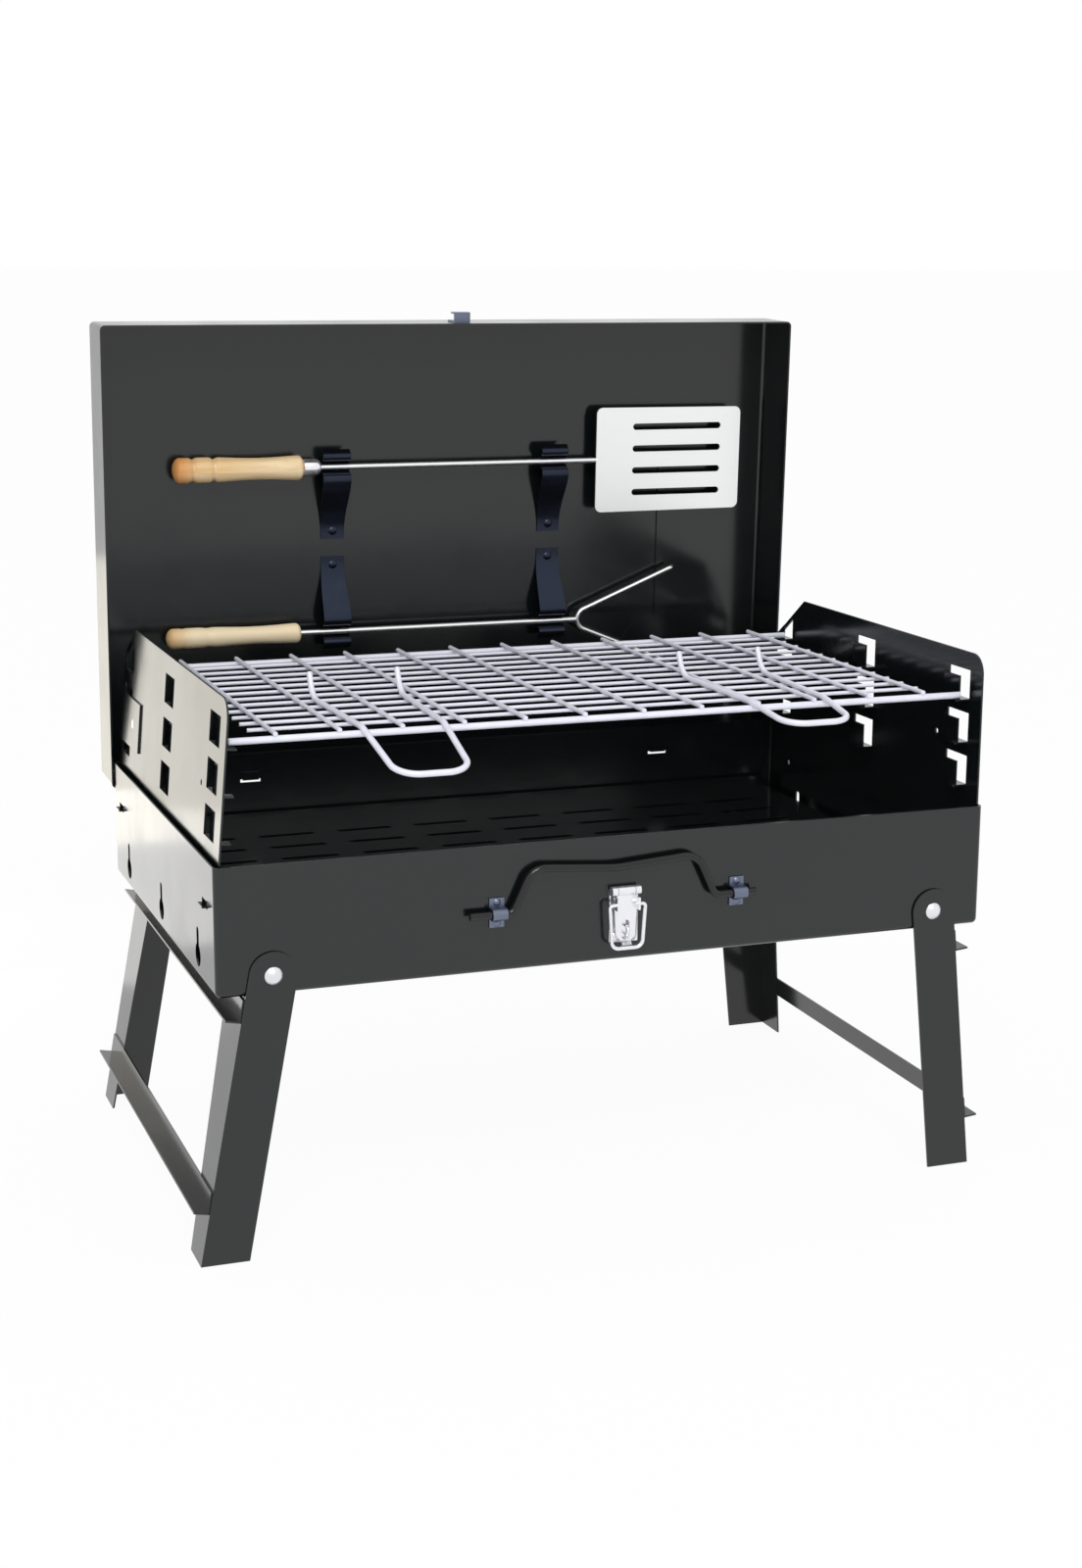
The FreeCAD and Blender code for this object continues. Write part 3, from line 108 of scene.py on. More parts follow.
# ---- materials ----
def linear(hex_colour):
    """An sRGB hex colour, such as 'A1B2C3', as linear red, green, blue and alpha.

    Each level goes through the standard sRGB curve: a straight part near black, then a power.
    """
    levels = [int(hex_colour[i : i + 2], 16) / 255 for i in (0, 2, 4)]
    return [v / 12.92 if v <= 0.04045 else ((v + 0.055) / 1.055) ** 2.4 for v in levels] + [1.0]


def add_node(tree, kind, settings=None, links=None, **attributes):
    """Add a node, set its attributes and input values, and link its inputs."""
    node = tree.nodes.new(kind)
    for name, value in attributes.items():
        setattr(node, name, value)
    for socket, value in (settings or {}).items():
        node.inputs[socket].default_value = value
    for socket, source in (links or {}).items():
        tree.links.new(source, node.inputs[socket])
    return node


def new_material(name, **surface):
    """A material with one Principled BSDF, its tree and its Object coordinates."""
    material = bpy.data.materials.new(name)
    material.use_nodes = True
    tree = material.node_tree
    shader = tree.nodes["Principled BSDF"]
    for socket, value in surface.items():
        shader.inputs[socket.replace("_", " ")].default_value = value
    place = tree.nodes.new("ShaderNodeTexCoord").outputs["Object"]
    return material, tree, shader, place


def per_metre(size_mm):
    """A noise scale whose features are about size_mm across."""
    return 1.0 / (size_mm * MM)


def baked_enamel(name, hex_colour, roughness, peel_mm=2.2, dust=0.12, gloss_ior=1.56,
                 wave_mm=70.0, patch_mm=45.0, speck_mm=1.6):
    """Black baked stove enamel, sprayed on sheet steel.

    Its film has a fine orange peel and the sheet under it long shallow waves, so reflections
    waver a little. Handling leaves patches that are a little duller, and dust makes the
    colour greyer in places. Real dust is finer: its specks are as coarse as they need to show.
    """
    wave_height, film_depth = 2.0, 0.04 * MM
    dust_gain, dust_lift = 1.9, 0.004
    material, tree, shader, place = new_material(name, IOR=gloss_ior, Roughness=roughness)
    peel = add_node(tree, "ShaderNodeTexNoise", {"Scale": per_metre(peel_mm), "Detail": 2.0},
                    {"Vector": place})
    waves = add_node(tree, "ShaderNodeTexNoise", {"Scale": per_metre(wave_mm), "Detail": 1.0},
                     {"Vector": place})
    height = add_node(tree, "ShaderNodeMath", {1: wave_height}, {0: waves.outputs["Fac"]},
                      operation="MULTIPLY")
    both = add_node(tree, "ShaderNodeMath", {}, {0: height.outputs[0], 1: peel.outputs["Fac"]},
                    operation="ADD")
    bump = add_node(tree, "ShaderNodeBump", {"Strength": 0.12, "Distance": film_depth},
                    {"Height": both.outputs[0]})
    patches = add_node(tree, "ShaderNodeTexNoise",
                       {"Scale": per_metre(patch_mm), "Detail": 5.0}, {"Vector": place})
    dulling = add_node(tree, "ShaderNodeMapRange",
                       {"From Min": 0.35, "From Max": 0.7, "To Min": roughness - 0.03,
                        "To Max": roughness + 0.05}, {"Value": patches.outputs["Fac"]})
    specks = add_node(tree, "ShaderNodeTexNoise", {"Scale": per_metre(speck_mm), "Detail": 3.0},
                      {"Vector": place})
    dusty = add_node(tree, "ShaderNodeMapRange",
                     {"From Min": 0.60, "From Max": 0.78, "To Max": dust},
                     {"Value": specks.outputs["Fac"]})
    clean = linear(hex_colour)
    grey = [min(1.0, c * dust_gain + dust_lift) for c in clean[:3]] + [1.0]
    tint = add_node(tree, "ShaderNodeMix", {6: clean, 7: grey}, {0: dusty.outputs["Result"]},
                    data_type="RGBA")
    tree.links.new(tint.outputs[2], shader.inputs["Base Color"])
    tree.links.new(dulling.outputs["Result"], shader.inputs["Roughness"])
    tree.links.new(bump.outputs["Normal"], shader.inputs["Normal"])
    return material


def plated_wire(name, hex_colour, roughness, metal=1.0, grain_mm=0.7, haze_mm=9.0,
                haze_depth=0.18):
    """Bright plate over drawn wire or pressed steel.

    Plate is smooth, but drawing and pressing marks stay under it, and it hazes in patches.
    Real marks are finer: these are as coarse as they need to show. A full share of metal
    mirrors the room. A low one, as on the cooking grid, leaves mostly a pale bluish colour:
    a painted reflection of bright sky on the plate, which keeps it light in front of the dark
    box.
    """
    mark_depth = 0.03 * MM
    material, tree, shader, place = new_material(name, Metallic=metal, Roughness=roughness)
    marks = add_node(tree, "ShaderNodeTexNoise", {"Scale": per_metre(grain_mm), "Detail": 3.0},
                     {"Vector": place})
    bump = add_node(tree, "ShaderNodeBump", {"Strength": 0.15, "Distance": mark_depth},
                    {"Height": marks.outputs["Fac"]})
    haze = add_node(tree, "ShaderNodeTexNoise", {"Scale": per_metre(haze_mm), "Detail": 4.0},
                    {"Vector": place})
    rough = add_node(tree, "ShaderNodeMapRange",
                     {"From Min": 0.3, "From Max": 0.7, "To Min": roughness - 0.06,
                      "To Max": roughness + 0.12}, {"Value": haze.outputs["Fac"]})
    bright = linear(hex_colour)
    dull = [c * (1 - haze_depth) for c in bright[:3]] + [1.0]
    tint = add_node(tree, "ShaderNodeMix", {6: bright, 7: dull}, {0: haze.outputs["Fac"]},
                    data_type="RGBA")
    tree.links.new(tint.outputs[2], shader.inputs["Base Color"])
    tree.links.new(rough.outputs["Result"], shader.inputs["Roughness"])
    tree.links.new(bump.outputs["Normal"], shader.inputs["Normal"])
    return material


def black_spring_painted_blue_sheen(name, dark_hex, painted_blue_sheen_hex, film_mm=6.0):
    """Black spring steel for the tool clips. Its reflections are tinted blue: a painted
    reflection of blue sky, which the white room does not hold.

    The coat's thickness differs from place to place, so its gloss does too, and its black
    is lighter in places.
    """
    lightest = 2.0
    material, tree, shader, place = new_material(name, IOR=1.62, Roughness=0.22)
    film = add_node(tree, "ShaderNodeTexNoise", {"Scale": per_metre(film_mm), "Detail": 3.0},
                    {"Vector": place})
    rough = add_node(tree, "ShaderNodeMapRange", {"To Min": 0.14, "To Max": 0.34},
                     {"Value": film.outputs["Fac"]})
    lighter = [c * lightest for c in linear(dark_hex)[:3]] + [1.0]
    tint = add_node(tree, "ShaderNodeMix", {6: linear(dark_hex), 7: lighter},
                    {0: film.outputs["Fac"]}, data_type="RGBA")
    # Painted reflection: this tint turns what the clips mirror blue, in place of a blue sky.
    shader.inputs["Specular Tint"].default_value = linear(painted_blue_sheen_hex)
    tree.links.new(tint.outputs[2], shader.inputs["Base Color"])
    tree.links.new(rough.outputs["Result"], shader.inputs["Roughness"])
    return material


def brushed_stainless(name, hex_colour, roughness, line_mm=0.5, length_mm=30.0):
    """Stainless sheet brushed along X: long fine scratches that spread the highlight.

    Real scratches are finer: these are as coarse as they need to show.
    """
    scratch_depth = 0.03 * MM
    material, tree, shader, place = new_material(name, Metallic=1.0, Roughness=roughness)
    stretch = add_node(tree, "ShaderNodeMapping",
                       {"Scale": (line_mm / length_mm, 1.0, 1.0)}, {"Vector": place})
    lines = add_node(tree, "ShaderNodeTexNoise", {"Scale": per_metre(line_mm), "Detail": 2.0},
                     {"Vector": stretch.outputs["Vector"]})
    bump = add_node(tree, "ShaderNodeBump", {"Strength": 0.25, "Distance": scratch_depth},
                    {"Height": lines.outputs["Fac"]})
    rough = add_node(tree, "ShaderNodeMapRange",
                     {"To Min": roughness - 0.06, "To Max": roughness + 0.10},
                     {"Value": lines.outputs["Fac"]})
    shader.inputs["Base Color"].default_value = linear(hex_colour)
    tree.links.new(rough.outputs["Result"], shader.inputs["Roughness"])
    tree.links.new(bump.outputs["Normal"], shader.inputs["Normal"])
    return material


def turned_beech(name, pale_hex, dark_hex, butt_hex, butt, ring_mm=5.0, fleck_mm=0.8,
                 soak_mm=16.0, full_soak_mm=4.0):
    """Oiled beech turned on a lathe: soft growth bands along X and short darker flecks.

    Oil soaks into the end grain, so the wood deepens in colour towards its butt, from
    soak_mm to full_soak_mm from that end, which is at butt metres along X.
    """
    grain_squeeze, pore_depth = 0.08, 0.08 * MM
    material, tree, shader, place = new_material(name, IOR=1.46, Roughness=0.42)
    along = add_node(tree, "ShaderNodeMapping", {"Scale": (grain_squeeze, 1.0, 1.0)},
                     {"Vector": place})
    bands = add_node(tree, "ShaderNodeTexNoise",
                     {"Scale": per_metre(ring_mm), "Detail": 4.0, "Distortion": 0.6},
                     {"Vector": along.outputs["Vector"]})
    flecks = add_node(tree, "ShaderNodeTexNoise", {"Scale": per_metre(fleck_mm), "Detail": 2.0},
                      {"Vector": along.outputs["Vector"]})
    sharp = add_node(tree, "ShaderNodeMapRange",
                     {"From Min": 0.55, "From Max": 0.75, "To Max": 0.35},
                     {"Value": flecks.outputs["Fac"]})
    spread = add_node(tree, "ShaderNodeMapRange", {"From Min": 0.3, "From Max": 0.7},
                      {"Value": bands.outputs["Fac"]})
    amount = add_node(tree, "ShaderNodeMath", {},
                      {0: spread.outputs["Result"], 1: sharp.outputs["Result"]},
                      operation="ADD", use_clamp=True)
    tint = add_node(tree, "ShaderNodeMix", {6: linear(pale_hex), 7: linear(dark_hex)},
                    {0: amount.outputs[0]}, data_type="RGBA")
    bump = add_node(tree, "ShaderNodeBump", {"Strength": 0.3, "Distance": pore_depth},
                    {"Height": flecks.outputs["Fac"]})
    split = add_node(tree, "ShaderNodeSeparateXYZ", {}, {"Vector": place})
    soaked = add_node(tree, "ShaderNodeMapRange",
                      {"From Min": butt + soak_mm * MM, "From Max": butt + full_soak_mm * MM,
                       "To Max": 0.8},
                      {"Value": split.outputs["X"]})
    oiled = add_node(tree, "ShaderNodeMix", {7: linear(butt_hex)},
                     {0: soaked.outputs["Result"], 6: tint.outputs[2]}, data_type="RGBA")
    tree.links.new(oiled.outputs[2], shader.inputs["Base Color"])
    tree.links.new(bump.outputs["Normal"], shader.inputs["Normal"])
    return material


def finish(name):
    """The material of that name, made the first time it is asked for."""
    made = bpy.data.materials.get(name)
    if made:
        return made
    colours = bpy.context.scene.grill_finishes
    makers = {
        "stove_enamel": lambda: baked_enamel(name, colours.enamel, colours.enamel_roughness),
        "gloss_enamel": lambda: baked_enamel(name, colours.wire_enamel, roughness=0.14,
                                             peel_mm=3.0, dust=0.05, gloss_ior=1.5),
        # The clips' material: their own black, with a painted blue reflection tinting its gloss.
        "clip_black_painted_blue_sheen": lambda: black_spring_painted_blue_sheen(name, colours.blued, colours.clip_painted_blue_sheen),
        # The straps and the lid catch are black paint; this bluish metal is a painted reflection
        # of sky on them.
        "strap_painted_sky_sheen": lambda: plated_wire(name, colours.strap_painted_sheen, roughness=0.30, metal=0.9),
        "nickel_plate": lambda: plated_wire(name, colours.plate, colours.plate_roughness),
        # The grid's plate is drawn with little metal and a pale bluish colour: a painted
        # reflection of bright sky.
        "grid_painted_reflection": lambda: plated_wire(name, colours.grid_painted_reflection, roughness=0.36, metal=0.1),
        "latch_plate": lambda: plated_wire(name, colours.plate, roughness=0.16, metal=0.9,
                                           haze_depth=0.08),
        "brushed_stainless": lambda: brushed_stainless(name, colours.stainless, roughness=0.30),
        "spatula_beech": lambda: turned_beech(
            name, colours.beech_pale, colours.beech_dark, colours.beech_butt,
            butt=node_box("spatula_handle")[0][0]),
        "fork_beech": lambda: turned_beech(
            name, colours.fork_beech, colours.beech_pale, colours.beech_dark,
            butt=node_box("fork_handle")[0][0]),
    }
    return makers[name]()


def dress(material_name, *nodes):
    """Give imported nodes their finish."""
    for name in nodes:
        slots = frame["nodes"][name].material_slots
        for slot in slots:
            slot.material = finish(material_name)
        if not slots:
            frame["nodes"][name].data.materials.append(finish(material_name))


# ---- surfaces worked out with numpy ----
def grid_faces(rows, columns, wrap):
    """Quads between rows of points. With wrap, the last column joins the first."""
    across = np.arange(columns if wrap else columns - 1)
    row = np.arange(rows - 1)[:, None] * columns
    following = (across + 1) % columns
    quads = np.stack([row + across, row + following, row + columns + following,
                      row + columns + across], axis=-1)
    return quads.reshape(-1, 4)


def add_piece(name, points, faces, material_name, body, smooth=True):
    """A mesh object of points and faces that rides on a body, shaded smooth or flat."""
    mesh = bpy.data.meshes.new(name)
    mesh.from_pydata(np.asarray(points).tolist(), [], [list(map(int, f)) for f in faces])
    mesh.validate()
    mesh.polygons.foreach_set("use_smooth", np.full(len(mesh.polygons), smooth))
    mesh.materials.append(finish(material_name))
    piece = bpy.data.objects.new(name, mesh)
    bpy.context.collection.objects.link(piece)
    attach(piece, body)
    return piece


def lathe_surface(start, along, radius, steps=48):
    """Points and faces of a turned piece.

    The point at length a and angle t is start + (a, r(a) cos t, r(a) sin t), so the piece
    lies along X. A first and last radius of nought close its ends.
    """
    angle = np.linspace(0, 2 * math.pi, steps, endpoint=False)
    x = np.repeat(along[:, None], steps, axis=1)
    y = radius[:, None] * np.cos(angle)
    z = radius[:, None] * np.sin(angle)
    points = np.stack([x, y, z], axis=-1).reshape(-1, 3) + start
    faces = grid_faces(len(along), steps, True)[:, ::-1]
    return points, faces


def merge_points(piece, distance=1e-6):
    """Merge the points of each pole, so that the skin is watertight, and face it outwards."""
    skin = bmesh.new()
    skin.from_mesh(piece.data)
    bmesh.ops.remove_doubles(skin, verts=skin.verts, dist=distance)
    bmesh.ops.recalc_face_normals(skin, faces=skin.faces)
    skin.to_mesh(piece.data)
    skin.free()


def quarter_ellipse(share):
    """Height of a quarter ellipse, from nought where share is 0 to 1 where it is 1."""
    return np.sqrt(np.clip(1 - np.clip(1 - share, 0, 1) ** 2, 0, 1))


def handle_profile(length, radius, grooves, steps=160):
    """Length and radius of a turned handle, from its butt to its nose.

    A quarter ellipse rounds the butt, and another the nose, down to a quarter of the radius,
    where a flat end closes it. The radius is full up to the end of the hold, and thins from
    there by a sine to the power of one and a half, to a waist halfway to the nose. Each
    groove is a bell-shaped dip: its centre and width are shares of the length, and its depth
    is a share of the radius.
    """
    butt, nose, flat_end = 0.055, 0.04, 0.25
    hold, waist_depth, waist_power = 0.3, 0.14, 1.5
    share = 0.5 - 0.5 * np.cos(np.linspace(0, math.pi, steps))
    past_hold = np.clip((share - hold) / (1 - hold), 0, 1)
    body = 1.0 - waist_depth * np.sin(math.pi * past_hold) ** waist_power
    for centre, depth, width in grooves:
        body -= depth * np.exp(-(((share - centre) / width) ** 2))
    rounding = quarter_ellipse(share / butt)
    rounding *= flat_end + (1 - flat_end) * quarter_ellipse((1 - share) / nose)
    profile = radius * body * rounding
    profile[0] = 0.0
    return np.append(share, 1.0) * length, np.append(profile, 0.0)


def turned_handle(name, node, body, grooves, wood):
    """A turned wooden handle in the place of a plain node."""
    start, length, radius = round_node(node)
    along, profile = handle_profile(length, radius, grooves)
    points, faces = lathe_surface(start, along, profile)
    piece = add_piece(name, points, faces, wood, body)
    merge_points(piece)
    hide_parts(node)


def swept_surface(path, normal, section):
    """Points and faces of a section carried along a flat path, with both ends closed.

    The path lies in a plane with that unit normal. A section point (a, b) is a along the
    normal and b along the path's own left, which is the normal crossed with its direction.
    The section is one loop for the whole path, or one loop for each of its points.
    """
    direction = np.gradient(path, axis=0)
    direction /= np.linalg.norm(direction, axis=1)[:, None]
    left = np.cross(normal, direction)
    loops = np.broadcast_to(section, (len(path),) + np.shape(section)[-2:])
    points = path[:, None] + loops[..., :1] * normal + loops[..., 1:] * left[:, None]
    count = loops.shape[1]
    faces = grid_faces(len(path), count, True).tolist()
    last = (len(path) - 1) * count
    faces += [list(range(count))[::-1], list(range(last, last + count))]
    return points.reshape(-1, 3), faces


def smooth_path(corners, steps):
    """A cubic B-spline near its corners, from the first corner to the last, in steps.

    The first and last corner each count three times, so the curve starts and ends there.
    """
    held = np.concatenate([np.repeat(corners[:1], 2, axis=0), corners,
                           np.repeat(corners[-1:], 2, axis=0)])
    just_inside = 1e-9
    place = np.linspace(0, len(held) - 3 - just_inside, steps)
    first = place.astype(int)
    t = (place - first)[:, None]
    shares = ((1 - t) ** 3, 3 * t**3 - 6 * t**2 + 4, -3 * t**3 + 3 * t**2 + 3 * t + 1, t**3)
    return sum(share * held[first + i] for i, share in enumerate(shares)) / 6


def rounded_plate_section(half_width, half_sheet):
    """A loop round a strip's cut end: a flat plate whose four edges are cut off at a slant.

    There is one loop for each half width. A slant takes a quarter of the sheet's thickness.
    """
    wide, thick = half_width, np.full_like(half_width, half_sheet)
    edge = half_sheet / 2
    loop = [(-wide, thick - edge), (-wide + edge, thick), (wide - edge, thick),
            (wide, thick - edge), (wide, edge - thick), (wide - edge, -thick),
            (-wide + edge, -thick), (-wide, edge - thick)]
    return np.stack([np.stack(point, axis=-1) for point in loop], axis=-2)


# A tool clip's line, in millimetres: along the lid from the clip's foot, and off its sheet.
CLIP_LINE = (
    (0.0, 0.4), (11.0, 0.4),  # foot, flat on the lid
    (22.0, 5.6), (31.5, 11.4), (37.5, 13.6), (40.5, 12.6),  # ramp and rounded nose
    (42.5, 6.7), (45.0, 6.3), (47.5, 6.7),  # saddle behind the rod
    (49.5, 12.6), (52.5, 12.9), (55.2, 8.9),  # curl at the free end
)


def spring_clip(node):
    """A tool clip bent from one strip, in the place of a plain node.

    From its foot on the lid the strip rises to a rounded nose, dips to a saddle behind the
    tool's rod and ends in a curl. Its width grows by a cosine from the foot to the nose.
    """
    sizes = bpy.context.scene.grill_hardware
    backward, up = lid_directions()
    low, high = node_box(node)
    lowest, highest = node_reach(node, up)
    # The spatula's clips point up the lid from their feet, the fork's down.
    foot, way = (lowest, 1.0) if node.startswith("spatula") else (highest, -1.0)
    sheet = node_reach(node, backward)[1]
    along, off = np.array(CLIP_LINE).T * MM
    corners = np.outer(foot + way * along, up) + np.outer(sheet - off, backward)
    corners[:, 0] = (low[0] + high[0]) / 2
    path = smooth_path(corners, steps=180)
    to_nose = np.clip(np.abs(path @ up - foot) / sizes.clip_nose, 0, 1)
    half = sizes.clip_foot_width / 2
    half = half + (sizes.clip_width / 2 - half) * (0.5 - 0.5 * np.cos(math.pi * to_nose))
    section = rounded_plate_section(half, sizes.clip_sheet / 2)
    points, faces = swept_surface(path, np.array([1.0, 0.0, 0.0]), section)
    # The clips take their black with its painted blue reflection.
    piece = add_piece(f"{node}_spring", points, faces, "clip_black_painted_blue_sheen", "lid_body", smooth=False)
    merge_points(piece)
    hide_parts(node)


def drawn_ferrule():
    """The spatula's drawn steel cap: a tube that narrows by a quarter ellipse to the rod.

    Its mouth, over the wood, is closed by a flat face with a small slant round it.
    """
    start, length, radius = round_node("spatula_ferrule")
    rod_radius = round_node("spatula_rod")[2]
    tube, mouth = 0.97 * radius, 0.94 * radius
    slant, shoulder = 0.02 * length, 0.35 * length
    turn = np.linspace(0, math.pi / 2, 16)
    along = np.concatenate([[0.0, 0.0, slant], length - shoulder + shoulder * np.sin(turn),
                            [length]])
    profile = np.concatenate([[0.0, mouth, tube],
                              rod_radius + (tube - rod_radius) * np.cos(turn), [0.0]])
    points, faces = lathe_surface(start, along, profile)
    piece = add_piece("spatula_drawn_ferrule", points, faces, "latch_plate", "spatula_body")
    merge_points(piece)
    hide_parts("spatula_ferrule")


def bent_prongs():
    """The fork's two prongs: one wire bent round in a U and welded to the rod's end.

    The wire follows a round arc at the rod, and from its ends two straight runs that leave
    it along its tangents.
    """
    sizes = bpy.context.scene.grill_hardware
    wire, bend = sizes.prong_wire / 2, sizes.prong_bend
    arc_steps, run_steps, round_steps = 40, 24, 20
    backward, up = lid_directions()
    low, high = node_box("fork_prongs")
    lowest, highest = node_reach("fork_prongs", up)
    depth = sum(node_reach("fork_prongs", backward)) / 2
    middle, rise = (lowest + highest) / 2, (highest - lowest) / 2 - wire
    apex, tip = low[0] + wire, high[0] - wire
    centre = apex + bend
    away = math.hypot(tip - centre, rise)
    slope = math.atan2(rise, tip - centre) - math.asin(bend / away)
    turn = np.linspace(math.pi / 2 + slope, math.pi * 3 / 2 - slope, arc_steps)
    arc = np.stack([centre + bend * np.cos(turn), bend * np.sin(turn)], axis=1)
    run = np.linspace(0, 1, run_steps)[:, None]
    upper = np.array([tip, rise]) * (1 - run) + arc[0] * run
    lower = arc[-1] * (1 - run) + np.array([tip, -rise]) * run
    flat = np.concatenate([upper[:-1], arc, lower[1:]])
    path = np.outer(middle + flat[:, 1], up) + depth * backward
    path[:, 0] = flat[:, 0]
    around = np.linspace(0, 2 * math.pi, round_steps, endpoint=False)
    section = wire * np.stack([np.cos(around), np.sin(around)], axis=1)
    points, faces = swept_surface(path, backward, section)
    piece = add_piece("fork_bent_prongs", points, faces, "brushed_stainless", "fork_body")
    merge_points(piece)
    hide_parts("fork_prongs")


# ---- settings ----
class GrillHardware(bpy.types.PropertyGroup):
    """Sizes of the pieces that are bent from strip and wire."""

    clip_width: FloatProperty(name="Clip width", description="Width of a tool clip at the rod",
                              default=17.4 * MM, min=0.005, unit="LENGTH")
    clip_foot_width: FloatProperty(name="Clip foot", description="Width of a tool clip's foot",
                                   default=14.6 * MM, min=0.005, unit="LENGTH")
    clip_nose: FloatProperty(name="Clip nose", description="From a clip's foot to its nose",
                             default=36.0 * MM, min=0.005, unit="LENGTH")
    clip_sheet: FloatProperty(name="Clip sheet", description="Thickness of a tool clip",
                              default=0.8 * MM, min=0.0003, unit="LENGTH")
    prong_wire: FloatProperty(name="Prong wire", description="Diameter of the fork's prongs",
                              default=3.0 * MM, min=0.001, unit="LENGTH")
    prong_bend: FloatProperty(name="Prong bend", description="Radius of the bend at the rod",
                              default=7.0 * MM, min=0.001, unit="LENGTH")


class GrillFinishes(bpy.types.PropertyGroup):
    """Colours and gloss of the finishes, as sRGB hex values."""

    enamel: StringProperty(name="Enamel", description="Black of the sheet steel",
                           default="0E1213")
    enamel_roughness: FloatProperty(
        name="Enamel roughness", description="Dullness of the baked enamel", default=0.155,
        min=0.05, max=1.0, subtype="FACTOR",
    )
    wire_enamel: StringProperty(name="Wire enamel", description="Gloss black of the handle",
                                default="07080A")
    # The clips' black is their own colour; their sheen colour is a painted blue reflection of
    # sky.
    blued: StringProperty(name="Blued steel", description="Blue-black of the tool clips",
                          default="07080B")
    clip_painted_blue_sheen: StringProperty(name="Blued sheen", description="Sheen of the tool clips",
                                default="B4C6F2")
    # Painted reflection: this bluish grey stands in for sky mirrored on black-painted straps.
    strap_painted_sheen: StringProperty(name="Strap steel", description="Bluish steel of the handle's straps",
                          default="747C90")
    # Painted reflection: this bluish white stands in for the sky that the grid's plate mirrors.
    grid_painted_reflection: StringProperty(name="Grid plate",
                               description="Bluish white of the cooking grid",
                               default="F1F3FF")
    plate: StringProperty(name="Plate", description="Nickel plate of wires and latch",
                          default="F4F4F8")
    plate_roughness: FloatProperty(
        name="Plate roughness", description="Dullness of the plate", default=0.25,
        min=0.05, max=1.0, subtype="FACTOR",
    )
    stainless: StringProperty(name="Stainless", description="Blade and rods", default="F3F4F4")
    beech_pale: StringProperty(name="Pale beech", description="Early wood", default="FBE6BE")
    beech_dark: StringProperty(name="Dark beech", description="Late wood and flecks",
                               default="E3B87C")
    beech_butt: StringProperty(name="Oiled butt",
                               description="End grain of the spatula's handle",
                               default="D98E45")
    fork_beech: StringProperty(name="Fork beech", description="Paler wood of the fork's handle",
                               default="FBE9C6")


class GrillStage(bpy.types.PropertyGroup):
    """The camera's place and the strength of the lamps."""

    azimuth: FloatProperty(name="Azimuth", description="Camera's turn from the front",
                           default=math.radians(-20.17), subtype="ANGLE")
    elevation: FloatProperty(name="Elevation", description="Camera's height as an angle",
                             default=math.radians(12.48), subtype="ANGLE")
    roll: FloatProperty(name="Roll", description="Camera's tilt", default=math.radians(0.32),
                        subtype="ANGLE")
    place: FloatVectorProperty(
        name="Camera place", description="Camera's place", subtype="TRANSLATION", unit="LENGTH",
        default=(-0.4554, -1.2675, 0.5049),
    )
    lens: FloatProperty(name="Lens", description="Focal length over frame height",
                        default=1.5426)
    key_power: FloatProperty(name="Key power", description="Watts of the front softbox",
                             default=25.0, unit="POWER")
    rim_power: FloatProperty(name="Rim power", description="Watts of the back-left softbox",
                             default=0.28, unit="POWER")
    low_power: FloatProperty(name="Low power", description="Watts of the low back-left softbox",
                             default=0.10, unit="POWER")
    fill: FloatProperty(name="Fill", description="Strength of the white room", default=0.75)


# ---- operators ----
def sheet_and_rivets(sheets, rivets):
    """Enamel on sheet pieces and bright plate on their rivets."""
    dress("stove_enamel", *sheets)
    dress("nickel_plate", *rivets)


class GRILL_OT_firebox(bpy.types.Operator):
    """Finish the firebox, its grate and its rivets"""

    bl_idname = "grill.firebox"
    bl_label = "Firebox"

    def execute(self, context):
        sheet_and_rivets(["firebox", "charcoal_grate"], ["leg_rivets"])
        return {"FINISHED"}


class GRILL_OT_legs(bpy.types.Operator):
    """Finish the folding legs and their bars"""

    bl_idname = "grill.legs"
    bl_label = "Legs"

    def execute(self, context):
        kinds = ("front_leg", "rear_leg", "lower_bar", "upper_bar")
        for side in ("left", "right"):
            dress("stove_enamel", *(f"{side}_{kind}" for kind in kinds))
        return {"FINISHED"}


class GRILL_OT_lid(bpy.types.Operator):
    """Finish the lid, its catch and its tool clips"""

    bl_idname = "grill.lid"
    bl_label = "Lid"

    def execute(self, context):
        dress("stove_enamel", "lid_shell")
        # The clip rivets share the clips' black and its painted blue reflection.
        dress("clip_black_painted_blue_sheen", "tool_clip_rivets")
        # The lid catch is black paint, drawn as bluish metal: a painted reflection of sky.
        dress("strap_painted_sky_sheen", "lid_catch")
        for tool in ("spatula", "fork"):
            for side in ("left", "right"):
                spring_clip(f"{tool}_{side}_clip")
        return {"FINISHED"}


class GRILL_OT_side_panels(bpy.types.Operator):
    """Finish the side panels and their stays"""

    bl_idname = "grill.side_panels"
    bl_label = "Side panels"

    def execute(self, context):
        for side in ("left", "right"):
            sheets = [f"{side}_side_panel", f"{side}_stay_plate"]
            sheet_and_rivets(sheets, [f"{side}_stay_rivet"])
        return {"FINISHED"}


class GRILL_OT_cooking_grid(bpy.types.Operator):
    """Finish the cooking grid"""

    bl_idname = "grill.cooking_grid"
    bl_label = "Cooking grid"

    def execute(self, context):
        # The grid's finish holds a painted reflection: a pale bluish colour in place of mirrored
        # sky.
        dress("grid_painted_reflection", "grid_frame", "grid_cross_wires", "grid_thin_wires",
              "grid_left_lift", "grid_right_lift")
        return {"FINISHED"}


